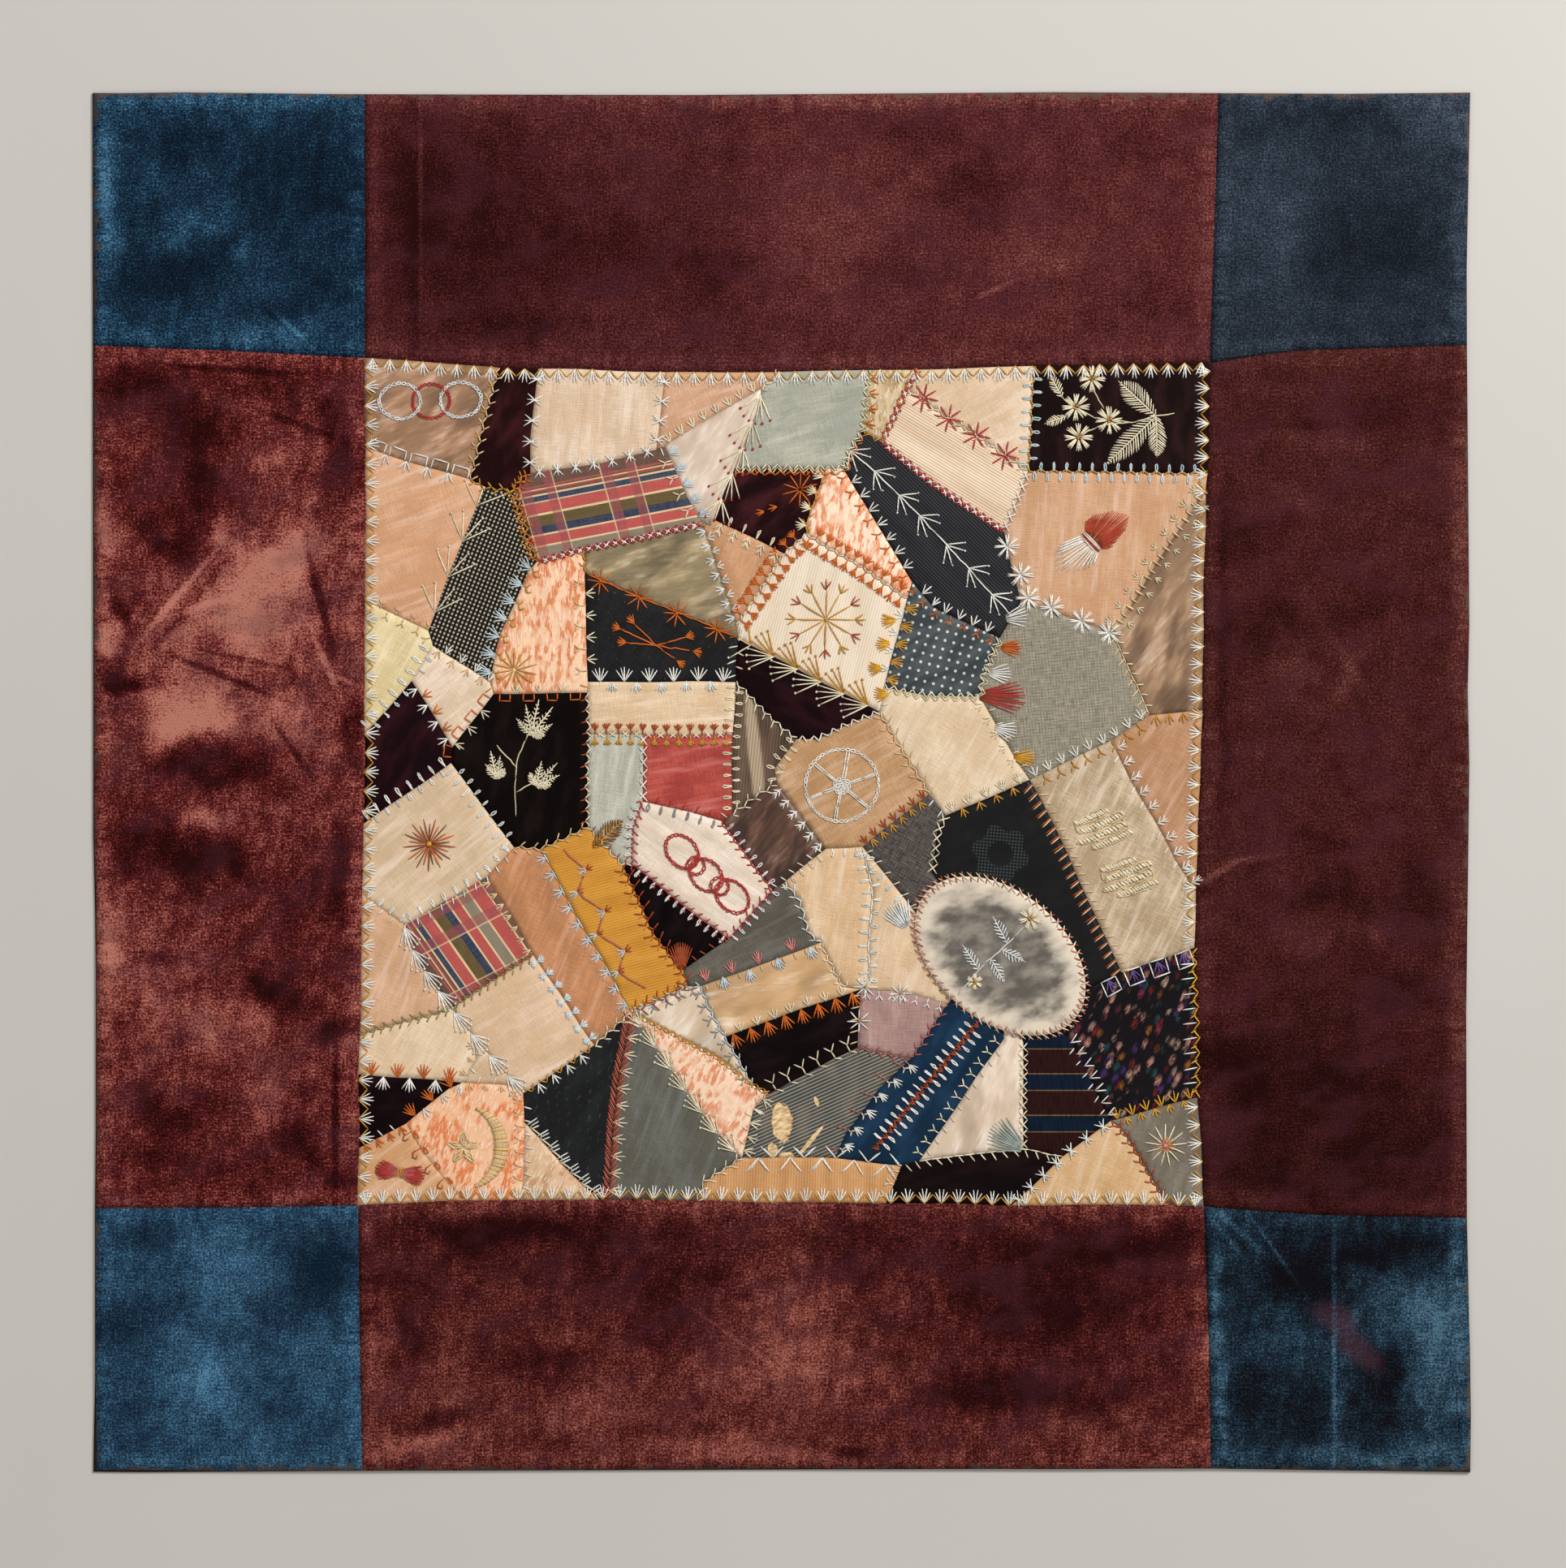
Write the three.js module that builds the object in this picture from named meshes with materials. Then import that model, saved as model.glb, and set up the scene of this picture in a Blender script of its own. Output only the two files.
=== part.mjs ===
// A crazy quilt laid flat with its face up: a pieced centre with a sewn-on oval, four velvet border
// strips, four velvet corner blocks and a cotton backing.
// Millimetres, +Z up, +Y towards the quilt's top edge. The origin is under the middle, on the surface it rests on.
import * as THREE from "three";
import { mergeVertices } from "three/addons/utils/BufferGeometryUtils.js";

// Driving sizes
const QUILT_WIDTH = 914;
const BACKING_THICK = 1.2;
const GAP = 0.3;
const TOP_FLOOR = BACKING_THICK + GAP;
const SEAM_Z = TOP_FLOOR + 0.7;
const CLOTH_Z = { silk: SEAM_Z + 0.7, wool: SEAM_Z + 1.0, velvet: SEAM_Z + 1.2 };
const SEAM_SLOPE = 2;
const BORDER_Z = TOP_FLOOR + 2.0;
const BORDER_RIM = 2.5;
const ALLOWANCE = 10.5;
const ALLOWANCE_RISE = 0.4;
const OVAL_THICK = 0.8;
const STRIP_CELLS = { along: 34, across: 10 };
const BLOCK_CELLS = { along: 10, across: 10 };

// Every place on the quilt is read on a grid laid over it, x to the right and y down.
// The backing's outline gives the grid's scale and its middle.
const BACKING_OUTLINE = [
  [113.5, 114], [449, 115.5], [850, 116.5], [1300, 113], [1660, 115], [1811.5, 113.5],
  [1807.2, 330], [1807.5, 425], [1810.5, 770], [1808.5, 850], [1810.5, 940], [1806.6, 1250],
  [1807.5, 1500], [1812.5, 1740], [1811.6, 1814.6], [1492, 1810], [1030, 1811], [446, 1813],
  [170, 1814.5], [114.5, 1814], [115, 1775], [116.5, 1700], [116.5, 1489], [117.5, 1390],
  [117.5, 1200], [116.5, 1120], [114.5, 1030], [114.5, 850], [114, 600], [114, 426],
];
const gridBox = new THREE.Box2().setFromPoints(BACKING_OUTLINE.map(([x, y]) => new THREE.Vector2(x, y)));
const gridMiddle = gridBox.getCenter(new THREE.Vector2());
const MM_PER_STEP = QUILT_WIDTH / gridBox.getSize(new THREE.Vector2()).x;

function place([x, y]) {
  return new THREE.Vector2((x - gridMiddle.x) * MM_PER_STEP, (gridMiddle.y - y) * MM_PER_STEP);
}

// Seam junctions on the grid: o corners of the centre, t r b l on its four sides, a inside it,
// e bends of a seam between two patches, h the hub under the oval.
const JUNCTIONS = {
  o1: [449, 441], o2: [1490, 446], o3: [1483, 1488], o4: [441, 1486],
  t1: [614, 452], t2: [663, 454], t3: [819, 459], t4: [962, 457], t5: [1068, 457], t6: [1131, 455],
  t7: [1274, 452],
  r1: [1488, 582], r2: [1486, 600], r3: [1481, 876], r4: [1473, 1098], r5: [1471, 1167], r6: [1476, 1353],
  b1: [1440, 1484], b2: [1246, 1484], b3: [1090, 1483], b4: [859, 1479], b5: [748, 1478], b6: [736, 1479],
  b7: [642, 1478], b8: [570, 1479],
  l1: [442, 1414], l2: [442, 1324], l3: [443, 1276], l4: [446, 1102], l5: [448, 1016], l6: [449, 905],
  l7: [450, 741], l8: [450, 551],
  a1: [578, 591], a2: [596, 601], a3: [634, 606], a4: [661, 692], a5: [653, 583], a6: [603, 841],
  a7: [608, 855], a8: [722, 854], a9: [719, 679], a10: [720, 706], a11: [723, 841], a12: [724, 905],
  a13: [724, 1018], a14: [666, 1046], a15: [633, 1043], a16: [556, 940], a17: [558, 921],
  a18: [507, 838], a19: [533, 795], a20: [527, 777], a21: [808, 553], a22: [819, 549], a23: [937, 479],
  a24: [905, 577], a25: [880, 641], a26: [865, 646], a27: [908, 768], a28: [911, 786], a29: [906, 840],
  a30: [982, 911], a31: [1083, 877], a32: [1088, 848], a33: [1118, 738], a34: [1124, 717],
  a35: [993, 658], a36: [966, 682], a37: [1017, 578], a38: [1039, 577], a39: [1061, 530],
  a40: [1085, 545], a41: [1116, 480], a42: [1267, 581], a43: [1236, 656], a44: [1257, 742],
  a45: [1370, 779], a46: [1415, 882], a47: [1370, 911], a48: [1268, 960], a49: [1206, 858],
  a50: [1230, 787], a51: [1145, 979], a52: [1166, 1005], a53: [1063, 1044], a54: [1017, 1046],
  a55: [958, 966], a56: [901, 1002], a57: [888, 1011], a58: [791, 988], a59: [793, 906],
  a60: [902, 905], a61: [779, 1066], a62: [767, 1067], a63: [951, 1098], a64: [966, 1088],
  a65: [897, 1158], a66: [841, 1196], a67: [846, 1216], a68: [777, 1247], a69: [862, 1216],
  a70: [1012, 1161], a71: [1042, 1216], a72: [1059, 1218], a73: [1127, 1124], a74: [1148, 1077],
  a75: [1166, 1239], a76: [1121, 1305], a77: [1056, 1291], a78: [893, 1278], a79: [926, 1335],
  a80: [948, 1347], a82: [914, 1427], a83: [732, 1289], a84: [645, 1347], a85: [657, 1177],
  a86: [600, 1081], a87: [497, 1140], a88: [556, 1242], a89: [583, 1278], a90: [570, 1335],
  a92: [500, 1385], a93: [645, 1384], a94: [1029, 1428], a95: [1110, 1435], a96: [1132, 1430],
  a97: [1260, 1414], a98: [1310, 1425], a99: [1368, 1381], a100: [1382, 1200],
  e1: [656, 509], e2: [652, 543], e3: [740, 570], e4: [877, 513], e5: [937, 497], e6: [922, 532],
  e7: [891, 610], e8: [845, 610], e9: [831, 575], e10: [1064, 509], e11: [1045, 559],
  e12: [1237, 562], e13: [1202, 536], e14: [1169, 515], e15: [1140, 590], e16: [650, 705],
  e17: [616, 785], e18: [1005, 610], e19: [994, 642], e20: [1060, 698], e21: [1243, 690],
  e22: [1240, 770], e23: [1150, 748], e24: [1300, 756], e25: [885, 705], e26: [790, 736],
  e27: [907, 812], e28: [1007, 838], e29: [1212, 830], e30: [1140, 857], e31: [478, 874],
  e32: [850, 1000], e33: [780, 1020], e34: [916, 850], e35: [932, 868], e36: [957, 893],
  e37: [955, 948], e38: [930, 981], e39: [1043, 893], e40: [1008, 910], e41: [1300, 1020],
  e42: [1340, 1220], e43: [1155, 1022], e44: [1118, 1112], e45: [1395, 965], e46: [1418, 1004],
  e47: [1448, 1061], e48: [722, 1150], e49: [800, 1145], e50: [812, 1233], e51: [509, 1177],
  e52: [985, 1111], e53: [997, 1150], e54: [1075, 1100], e55: [1071, 1150], e56: [1070, 1206],
  e57: [1033, 1207], e58: [1110, 1222], e59: [1337, 1318], e60: [1315, 1277], e61: [586, 1306],
  e62: [875, 1245], e63: [877, 1298], e64: [836, 1278], e65: [1082, 1342], e66: [1042, 1395],
  e67: [929, 1365], e68: [1236, 1280], e69: [1260, 1285], e70: [552, 1343], e71: [632, 1338],
  e72: [520, 1420], e73: [762, 1323], e74: [799, 1278], e75: [843, 1342], e76: [882, 1395],
  e77: [868, 1458], e78: [1379, 1391], e79: [1429, 1468],
  h0: [1230, 1175],
};

// The patches, clockwise round each: cloth and seam junctions.
const PATCHES = [
  ["silk", "o1 t1 a1 l8"],
  ["velvet", "t1 t2 e1 e2 a5 a3 a2 a1"],
  ["silk", "t2 t3 a21 e3 a5 e2 e1"],
  ["silk", "t3 t4 a23 e4 a22 a21"],
  ["silk", "a22 e4 a23 e5 e6 a24 e7 a25 a26 e8 e9"],
  ["silk", "t4 t5 e10 a39 e11 a38 a37 a24 e6 e5 a23"],
  ["silk", "t5 t6 a41 a40 a39 e10"],
  ["silk", "t6 t7 a42 e12 e13 e14 a41"],
  ["silk", "a41 e14 e13 e12 a42 a43 e15 a40"],
  ["velvet", "t7 o2 r1 a42"],
  ["silk", "l8 a1 a2 a20 l7"],
  ["wool", "a2 a3 a4 e16 e17 a6 a19 a20"],
  ["silk", "a5 e3 a21 a22 e9 e8 a26 a9 a4 a3"],
  ["velvet", "a24 a37 e18 e19 a35 a36 a25 e7"],
  ["silk", "a37 a38 a34 a33 e20 a35 e19 e18"],
  ["silk", "a39 a40 e15 a43 e21 a44 e22 a50 e23 a34 a38 e11"],
  ["silk", "a42 r1 r2 a45 e24 a44 e21 a43"],
  ["silk", "r2 r3 a46 a45"],
  ["silk", "a9 a26 e25 a27 a28 e26 a10"],
  ["silk", "a26 a25 a36 a27 e25"],
  ["silk", "a4 a9 a10 a11 a8 a7 a6 e17 e16"],
  ["silk", "a10 e26 a28 e27 a29 a11"],
  ["silk", "a35 e20 a33 a32 a31 e28 a28 a27 a36"],
  ["silk", "a34 e23 a50 e29 a49 e30 a32 a33"],
  ["wool", "a44 e24 a45 a46 a47 a48 a49 e29 a50 e22"],
  ["silk", "l7 a20 a19 a18 e31 l6"],
  ["silk", "a19 a6 a7 a17 a18"],
  ["velvet", "a18 a17 a16 l5 l6 e31"],
  ["velvet", "a7 a8 a12 a13 a14 a15 a16 a17"],
  ["silk", "a11 a29 a60 a59 a12 a8"],
  ["silk", "a59 a60 a56 a57 e32 a58"],
  ["silk", "a12 a59 a58 e33 a61 a62 a13"],
  ["velvet", "a29 e34 e35 e36 a30 e37 a55 e38 a56 a60"],
  ["velvet", "a28 e28 a31 e39 e40 a30 e36 e35 e34 a29 e27"],
  ["silk", "a30 e40 e39 a31 a51 a53 a54 a55 e37"],
  ["silk", "a32 e30 a49 a48 a52 a51 a31"],
  ["silk", "a55 a54 a64 a63 a57 a56 e38"],
  ["silk", "a58 e32 a57 a63 a65 a61 e33"],
  ["wool", "a52 a48 e41 a100 e42 h0 a74 e43"],
  ["wool", "a51 a52 e43 a74 h0 a73 e44 a53"],
  ["silk", "a48 a47 e45 e46 e47 r4 r5 a100 e41"],
  ["silk", "a46 r3 r4 e47 e46 e45 a47"],
  ["silk", "l5 a16 a15 a86 a87 l4"],
  ["silk", "a15 a14 e48 a68 a83 a85 a86"],
  ["wool", "a14 a13 a62 e49 a66 a67 e50 a68 e48"],
  ["silk", "a86 a85 a88 e51 a87"],
  ["silk", "l4 a87 e51 a88 l3"],
  ["velvet", "a62 a61 a65 a66 e49"],
  ["silk", "a63 a64 e52 e53 a70 a69 a67 a66 a65"],
  ["silk", "a54 a53 e54 e55 e56 a72 a71 e57 a70 e53 e52 a64"],
  ["silk", "a53 e44 a73 h0 a75 e58 a72 e56 e55 e54"],
  ["velvet", "h0 e42 a100 r5 r6 a99 e59 e60"],
  ["silk", "a88 a85 a83 a84 a89"],
  ["silk", "l3 a88 a89 e61 a90 l2"],
  ["silk", "a69 a70 e57 a71 a72 a78 e62"],
  ["silk", "a68 e50 a67 a69 e62 a78 a79 e63 e64"],
  ["velvet", "a78 a72 a77 a80 a79"],
  ["silk", "a72 e58 a75 a76 a77"],
  ["silk", "a80 a77 a76 e65 e66 a94 a82 e67"],
  ["velvet", "a75 h0 e68 a96 a95 a94 e66 e65 a76"],
  ["silk", "e68 h0 e69 a97 a96"],
  ["velvet", "h0 e60 e59 a99 a98 a97 e69"],
  ["velvet", "l2 a90 e70 a92 l1"],
  ["silk", "a90 e71 a84 a93 b7 b8 e72 a92 e70"],
  ["silk", "l1 a92 e72 b8 o4"],
  ["silk", "a93 b6 b7"],
  ["wool", "a84 a83 a68 e73 b5 b6 a93"],
  ["silk", "a68 e74 e75 e76 a82 e77 b4 b5 e73"],
  ["silk", "a68 e64 e63 a79 a80 e67 a82 e76 e75 e74"],
  ["silk", "a82 a94 a95 b3 b4 e77"],
  ["velvet", "a95 a96 a97 a98 b2 b3"],
  ["silk", "a98 a99 e78 e79 b1 b2"],
  ["silk", "a99 r6 o3 b1 e79 e78"],
  ["silk", "a89 a84 e71 a90 e61"],
];
const CENTRE_LOOP = "o1 t1 t2 t3 t4 t5 t6 t7 o2 r1 r2 r3 r4 r5 r6 o3 b1 b2 b3 b4 b5 b6 b7 b8 o4 "
  + "l1 l2 l3 l4 l5 l6 l7 l8";

// The oval: its centre on the grid, half its length and width in grid steps, and how far it is turned.
const OVAL = { centre: [1232, 1178], halfLength: 120, halfWidth: 79, turn: -40, sides: 44 };

// Where the velvet's seams meet the quilt's edge, and its corners, on the grid.
const EDGE = {
  nw: [115, 115], topLeft: [449, 116], topRight: [1501, 114.5], ne: [1811, 114],
  rightTop: [1807, 425], rightBottom: [1807, 1501], se: [1811, 1814],
  bottomRight: [1492, 1809.5], bottomLeft: [446, 1812.5], sw: [119, 1811],
  leftBottom: [118, 1489], leftTop: [116, 426],
};
const named = (names) => names.split(" ").map((name) => JUNCTIONS[name]);
const { o1, o2, o3, o4 } = JUNCTIONS;

// Each side of a velvet piece as a short line of grid points, from left to right or from top to bottom.
const LINE = {
  topOfNw: [EDGE.nw, [220, 113.5], EDGE.topLeft],
  topOfTop: [EDGE.topLeft, [640, 116.5], [850, 117], [1030, 115.5], [1300, 113.5], EDGE.topRight],
  topOfNe: [EDGE.topRight, [1660, 115.5], EDGE.ne],
  rightOfNe: [EDGE.ne, [1809, 210], [1806.5, 330], EDGE.rightTop],
  rightOfRight: [EDGE.rightTop, [1808, 600], [1810, 770], [1808, 850], [1810, 940], [1807.5, 1060],
    [1806, 1250], EDGE.rightBottom],
  rightOfSe: [EDGE.rightBottom, [1808, 1570], [1811, 1660], [1812, 1740], EDGE.se],
  bottomOfSe: [EDGE.bottomRight, [1700, 1812], EDGE.se],
  bottomOfBottom: [EDGE.bottomLeft, [600, 1811.5], [940, 1809.5], [1300, 1810.5], EDGE.bottomRight],
  bottomOfSw: [EDGE.sw, [300, 1812.5], EDGE.bottomLeft],
  leftOfNw: [EDGE.nw, [115.5, 300], EDGE.leftTop],
  leftOfLeft: [EDGE.leftTop, [115.5, 600], [116, 850], [116, 1030], [118.5, 1120], [119, 1390], EDGE.leftBottom],
  leftOfSw: [EDGE.leftBottom, [117.5, 1700], EDGE.sw],
  nwToTop: [EDGE.topLeft, [449.5, 280], o1],
  nwToLeft: [EDGE.leftTop, [280, 432], o1],
  neToTop: [EDGE.topRight, [1496, 280], o2],
  neToRight: [o2, [1597, 432], EDGE.rightTop],
  seToRight: [o3, [1623, 1497], EDGE.rightBottom],
  seToBottom: [o3, [1489, 1650], EDGE.bottomRight],
  swToLeft: [EDGE.leftBottom, [280, 1488], o4],
  swToBottom: [o4, [443, 1650], EDGE.bottomLeft],
  centreTop: named("o1 t1 t2 t3 t4 t5 t6 t7 o2"),
  centreRight: named("o2 r1 r2 r3 r4 r5 r6 o3"),
  centreBottom: named("o4 b8 b7 b6 b5 b4 b3 b2 b1 o3"),
  centreLeft: named("o1 l8 l7 l6 l5 l4 l3 l2 l1 o4"),
};

// Velvet pieces: node, colour, cells, and the lines along the top, right, bottom and left.
const VELVETS = [
  ["border_top", 0x4a2629, STRIP_CELLS, "topOfTop", "neToTop", "centreTop", "nwToTop"],
  ["border_right", 0x3f2122, STRIP_CELLS, "neToRight", "rightOfRight", "seToRight", "centreRight"],
  ["border_bottom", 0x53292b, STRIP_CELLS, "centreBottom", "seToBottom", "bottomOfBottom", "swToBottom"],
  ["border_left", 0x6f3b39, STRIP_CELLS, "nwToLeft", "centreLeft", "swToLeft", "leftOfLeft"],
  ["corner_top_left", 0x1b3a5a, BLOCK_CELLS, "topOfNw", "nwToTop", "nwToLeft", "leftOfNw"],
  ["corner_top_right", 0x1e2c3f, BLOCK_CELLS, "topOfNe", "rightOfNe", "neToRight", "neToTop"],
  ["corner_bottom_right", 0x1f3e56, BLOCK_CELLS, "seToRight", "rightOfSe", "bottomOfSe", "seToBottom"],
  ["corner_bottom_left", 0x2b567c, BLOCK_CELLS, "swToLeft", "swToBottom", "bottomOfSw", "leftOfSw"],
];

// Folds in the velvet: both ends on the grid, half width and height in millimetres.
const FOLDS = [
  [[150, 800], [185, 760], 8, 1.4],
  [[185, 760], [262, 700], 9, 1.6],
  [[185, 757], [290, 742], 8, 1.1],
  [[262, 800], [335, 830], 9, 1.2],
  [[335, 830], [400, 835], 8, 1.0],
  [[372, 640], [390, 740], 9, 1.2],
  [[390, 740], [435, 860], 9, 1.3],
  [[200, 1440], [270, 1490], 8, 1.2],
  [[790, 1560], [910, 1660], 12, 1.2],
  [[1495, 1110], [1560, 1040], 8, 1.4],
  [[1478, 1180], [1530, 1172], 7, 1.0],
  [[1478, 1240], [1535, 1236], 7, 1.0],
  [[1480, 1310], [1540, 1318], 7, 1.0],
  [[335, 400], [360, 425], 7, 1.0],
  [[1645, 1610], [1645, 1800], 9, 1.5],
  [[1555, 1525], [1595, 1585], 8, 1.2],
];
// Slow rise and fall of the velvet over the surface below: wavelength along x and y, and height.
const WAVES = [
  [210, 330, 0.30],
  [-340, 150, 0.22],
];

function foldHeight(point) {
  let height = 0;
  for (const [from, to, halfWidth, rise] of FOLDS) {
    const line = new THREE.Line3(new THREE.Vector3(...place(from), 0), new THREE.Vector3(...place(to), 0));
    const spot = new THREE.Vector3(point.x, point.y, 0);
    const away = line.closestPointToPoint(spot, true, new THREE.Vector3()).distanceTo(spot);
    height += rise * Math.exp(-((away / halfWidth) ** 2));
  }
  for (const [alongX, alongY, rise] of WAVES) {
    height += rise * Math.sin(2 * Math.PI * (point.x / alongX + point.y / alongY));
  }
  return height;
}

// The closed outline moved inwards by a distance; the outline runs anticlockwise.
function inset(loop, distance) {
  return loop.map((point, i) => {
    const before = loop[(i + loop.length - 1) % loop.length];
    const after = loop[(i + 1) % loop.length];
    const inwardBefore = normalOf(before, point);
    const inwardAfter = normalOf(point, after);
    const middle = inwardBefore.clone().add(inwardAfter);
    return point.clone().addScaledVector(middle, distance / (1 + inwardBefore.dot(inwardAfter)));
  });
}

function normalOf(from, to) {
  const way = to.clone().sub(from).normalize();
  return new THREE.Vector2(-way.y, way.x);
}

function anticlockwise(loop) {
  return THREE.ShapeUtils.area(loop) < 0 ? [...loop].reverse() : loop;
}

const raise = (point, z) => new THREE.Vector3(point.x, point.y, z);

// Collects the triangles of one closed body.
class Body {
  constructor() {
    this.corners = [];
  }

  triangle(a, b, c) {
    this.corners.push(a, b, c);
  }

  quad(a, b, c, d) {
    this.triangle(a, b, c);
    this.triangle(a, c, d);
  }

  // The upright wall and flat floor under an anticlockwise rim.
  skirt(rim, floor) {
    const middle = new THREE.Vector3();
    rim.forEach((point) => middle.addScaledVector(point, 1 / rim.length));
    middle.z = floor;
    rim.forEach((point, i) => {
      const next = rim[(i + 1) % rim.length];
      const low = raise(point, floor);
      const nextLow = raise(next, floor);
      this.quad(low, nextLow, next, point);
      this.triangle(nextLow, low, middle);
    });
  }

  // A flat lid over an anticlockwise outline.
  lid(outline, z) {
    for (const face of THREE.ShapeUtils.triangulateShape(outline, [])) {
      const [a, b, c] = face.map((i) => raise(outline[i], z));
      const turns = (b.x - a.x) * (c.y - a.y) - (b.y - a.y) * (c.x - a.x);
      if (turns > 0) this.triangle(a, b, c);
      else this.triangle(a, c, b);
    }
  }

  mesh(name, color, roughness) {
    const loose = new THREE.BufferGeometry().setFromPoints(this.corners);
    const geometry = mergeVertices(loose, 1e-4);
    geometry.computeVertexNormals();
    const mesh = new THREE.Mesh(geometry, new THREE.MeshStandardMaterial({ color, roughness, metalness: 0 }));
    mesh.name = name;
    return mesh;
  }
}

// Shares from 0 to 1 along a side: its rim, its seam allowance, then even steps.
function shares(count, length) {
  const rim = BORDER_RIM / length;
  const band = ALLOWANCE / length;
  const inner = Array.from({ length: count + 1 }, (_, i) => band + ((1 - 2 * band) * i) / count);
  return [0, rim, ...inner, 1 - rim, 1];
}

// A velvet piece: a surface stretched between its four sides, with the folds in it.
function velvet([name, color, cells, top, right, bottom, left]) {
  const paths = [top, right, bottom, left].map((key) => new THREE.Path(LINE[key].map(place)));
  const [topPath, rightPath, bottomPath, leftPath] = paths;
  const wide = topPath.getLength() > leftPath.getLength();
  const columns = shares(wide ? cells.along : cells.across, topPath.getLength());
  const rows = shares(wide ? cells.across : cells.along, leftPath.getLength());

  const points = (path, list) => list.map((share) => path.getPointAt(share));
  const sides = [
    ...points(leftPath, rows).slice(0, -1),
    ...points(bottomPath, columns).slice(0, -1),
    ...points(rightPath, rows).reverse().slice(0, -1),
    ...points(topPath, columns).reverse().slice(0, -1),
  ];
  const rim = inset(sides, GAP / 2);
  const last = { column: columns.length - 1, row: rows.length - 1 };
  const onLeft = (j) => rim[j];
  const onBottom = (i) => rim[last.row + i];
  const onRight = (j) => rim[last.row + last.column + (last.row - j)];
  const onTop = (i) => rim[(2 * last.row + last.column + (last.column - i)) % rim.length];

  const surface = rows.map((v, j) => columns.map((u, i) => {
    const point = new THREE.Vector2()
      .addScaledVector(onTop(i), 1 - v).addScaledVector(onBottom(i), v)
      .addScaledVector(onLeft(j), 1 - u).addScaledVector(onRight(j), u)
      .addScaledVector(onLeft(0), -(1 - u) * (1 - v)).addScaledVector(onRight(0), -u * (1 - v))
      .addScaledVector(onLeft(last.row), -(1 - u) * v).addScaledVector(onRight(last.row), -u * v);
    const steps = Math.min(i, j, last.column - i, last.row - j);
    if (steps === 0) return raise(point, SEAM_Z);
    const allowance = steps === 1 ? ALLOWANCE_RISE : 0;
    return raise(point, BORDER_Z + allowance + foldHeight(point));
  }));

  const body = new Body();
  for (let j = 0; j < last.row; j++) {
    for (let i = 0; i < last.column; i++) {
      body.quad(surface[j + 1][i], surface[j + 1][i + 1], surface[j][i + 1], surface[j][i]);
    }
  }
  body.skirt(rim.map((point) => raise(point, SEAM_Z)), TOP_FLOOR);
  return body.mesh(name, color, 0.9);
}

// The pieced centre: every patch is a low raised field, and its seams are grooves.
function centrePanel() {
  const names = CENTRE_LOOP.split(" ").reverse();
  const rim = inset(names.map((name) => place(JUNCTIONS[name])), GAP / 2);
  const spot = Object.fromEntries(Object.entries(JUNCTIONS).map(([name, grid]) => [name, place(grid)]));
  names.forEach((name, i) => { spot[name] = rim[i]; });

  const body = new Body();
  for (const [cloth, loop] of PATCHES) {
    const seam = anticlockwise(loop.split(" ").map((name) => spot[name]));
    const field = inset(seam, SEAM_SLOPE);
    seam.forEach((point, i) => {
      const next = (i + 1) % seam.length;
      const [nearNext, near] = [raise(field[next], CLOTH_Z[cloth]), raise(field[i], CLOTH_Z[cloth])];
      body.quad(raise(point, SEAM_Z), raise(seam[next], SEAM_Z), nearNext, near);
    });
    body.lid(field, CLOTH_Z[cloth]);
  }
  body.skirt(rim.map((point) => raise(point, SEAM_Z)), TOP_FLOOR);
  return body.mesh("centre_panel", 0x8c7a62, 0.7);
}

function ovalPatch() {
  const middle = place(OVAL.centre);
  const turn = THREE.MathUtils.degToRad(OVAL.turn);
  const ellipse = new THREE.EllipseCurve(
    middle.x, middle.y, OVAL.halfLength * MM_PER_STEP, OVAL.halfWidth * MM_PER_STEP, 0, 2 * Math.PI, false, turn,
  );
  const rim = ellipse.getPoints(OVAL.sides).slice(0, -1);
  const floor = CLOTH_Z.velvet + GAP;
  const top = floor + OVAL_THICK;
  const field = inset(rim, SEAM_SLOPE);
  const body = new Body();
  rim.forEach((point, i) => {
    const next = (i + 1) % rim.length;
    const low = (floor + top) / 2;
    body.quad(raise(point, low), raise(rim[next], low), raise(field[next], top), raise(field[i], top));
  });
  body.lid(field, top);
  body.skirt(rim.map((point) => raise(point, (floor + top) / 2)), floor);
  return body.mesh("oval_patch", 0xcdbca5, 0.7);
}

function backing() {
  const outline = anticlockwise(BACKING_OUTLINE.map(place));
  const body = new Body();
  body.lid(outline, BACKING_THICK);
  body.skirt(outline.map((point) => raise(point, BACKING_THICK)), 0);
  return body.mesh("backing", 0x241812, 0.95);
}

const quilt = new THREE.Group();
quilt.add(backing(), centrePanel(), ovalPatch(), ...VELVETS.map(velvet));
export default quilt;
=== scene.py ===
# %% [markdown]
# # A crazy quilt in silk and velvet
# The quilt lies flat with its face up. Irregular scraps of silk, satin, wool and velvet are pieced
# over a foundation, every seam is covered with hand embroidery, and wide strips of worn velvet
# frame the middle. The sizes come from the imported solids. Everything added here is laid on the
# quilt by places read on a grid over it, x to the right and y down, which one function turns
# into metres, because a patchwork is easiest to describe as it is seen from above.

# %% Load the solids
import math

import bpy
import numpy as np
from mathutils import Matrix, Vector, noise
from mathutils.bvhtree import BVHTree
from mathutils.geometry import delaunay_2d_cdt


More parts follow.
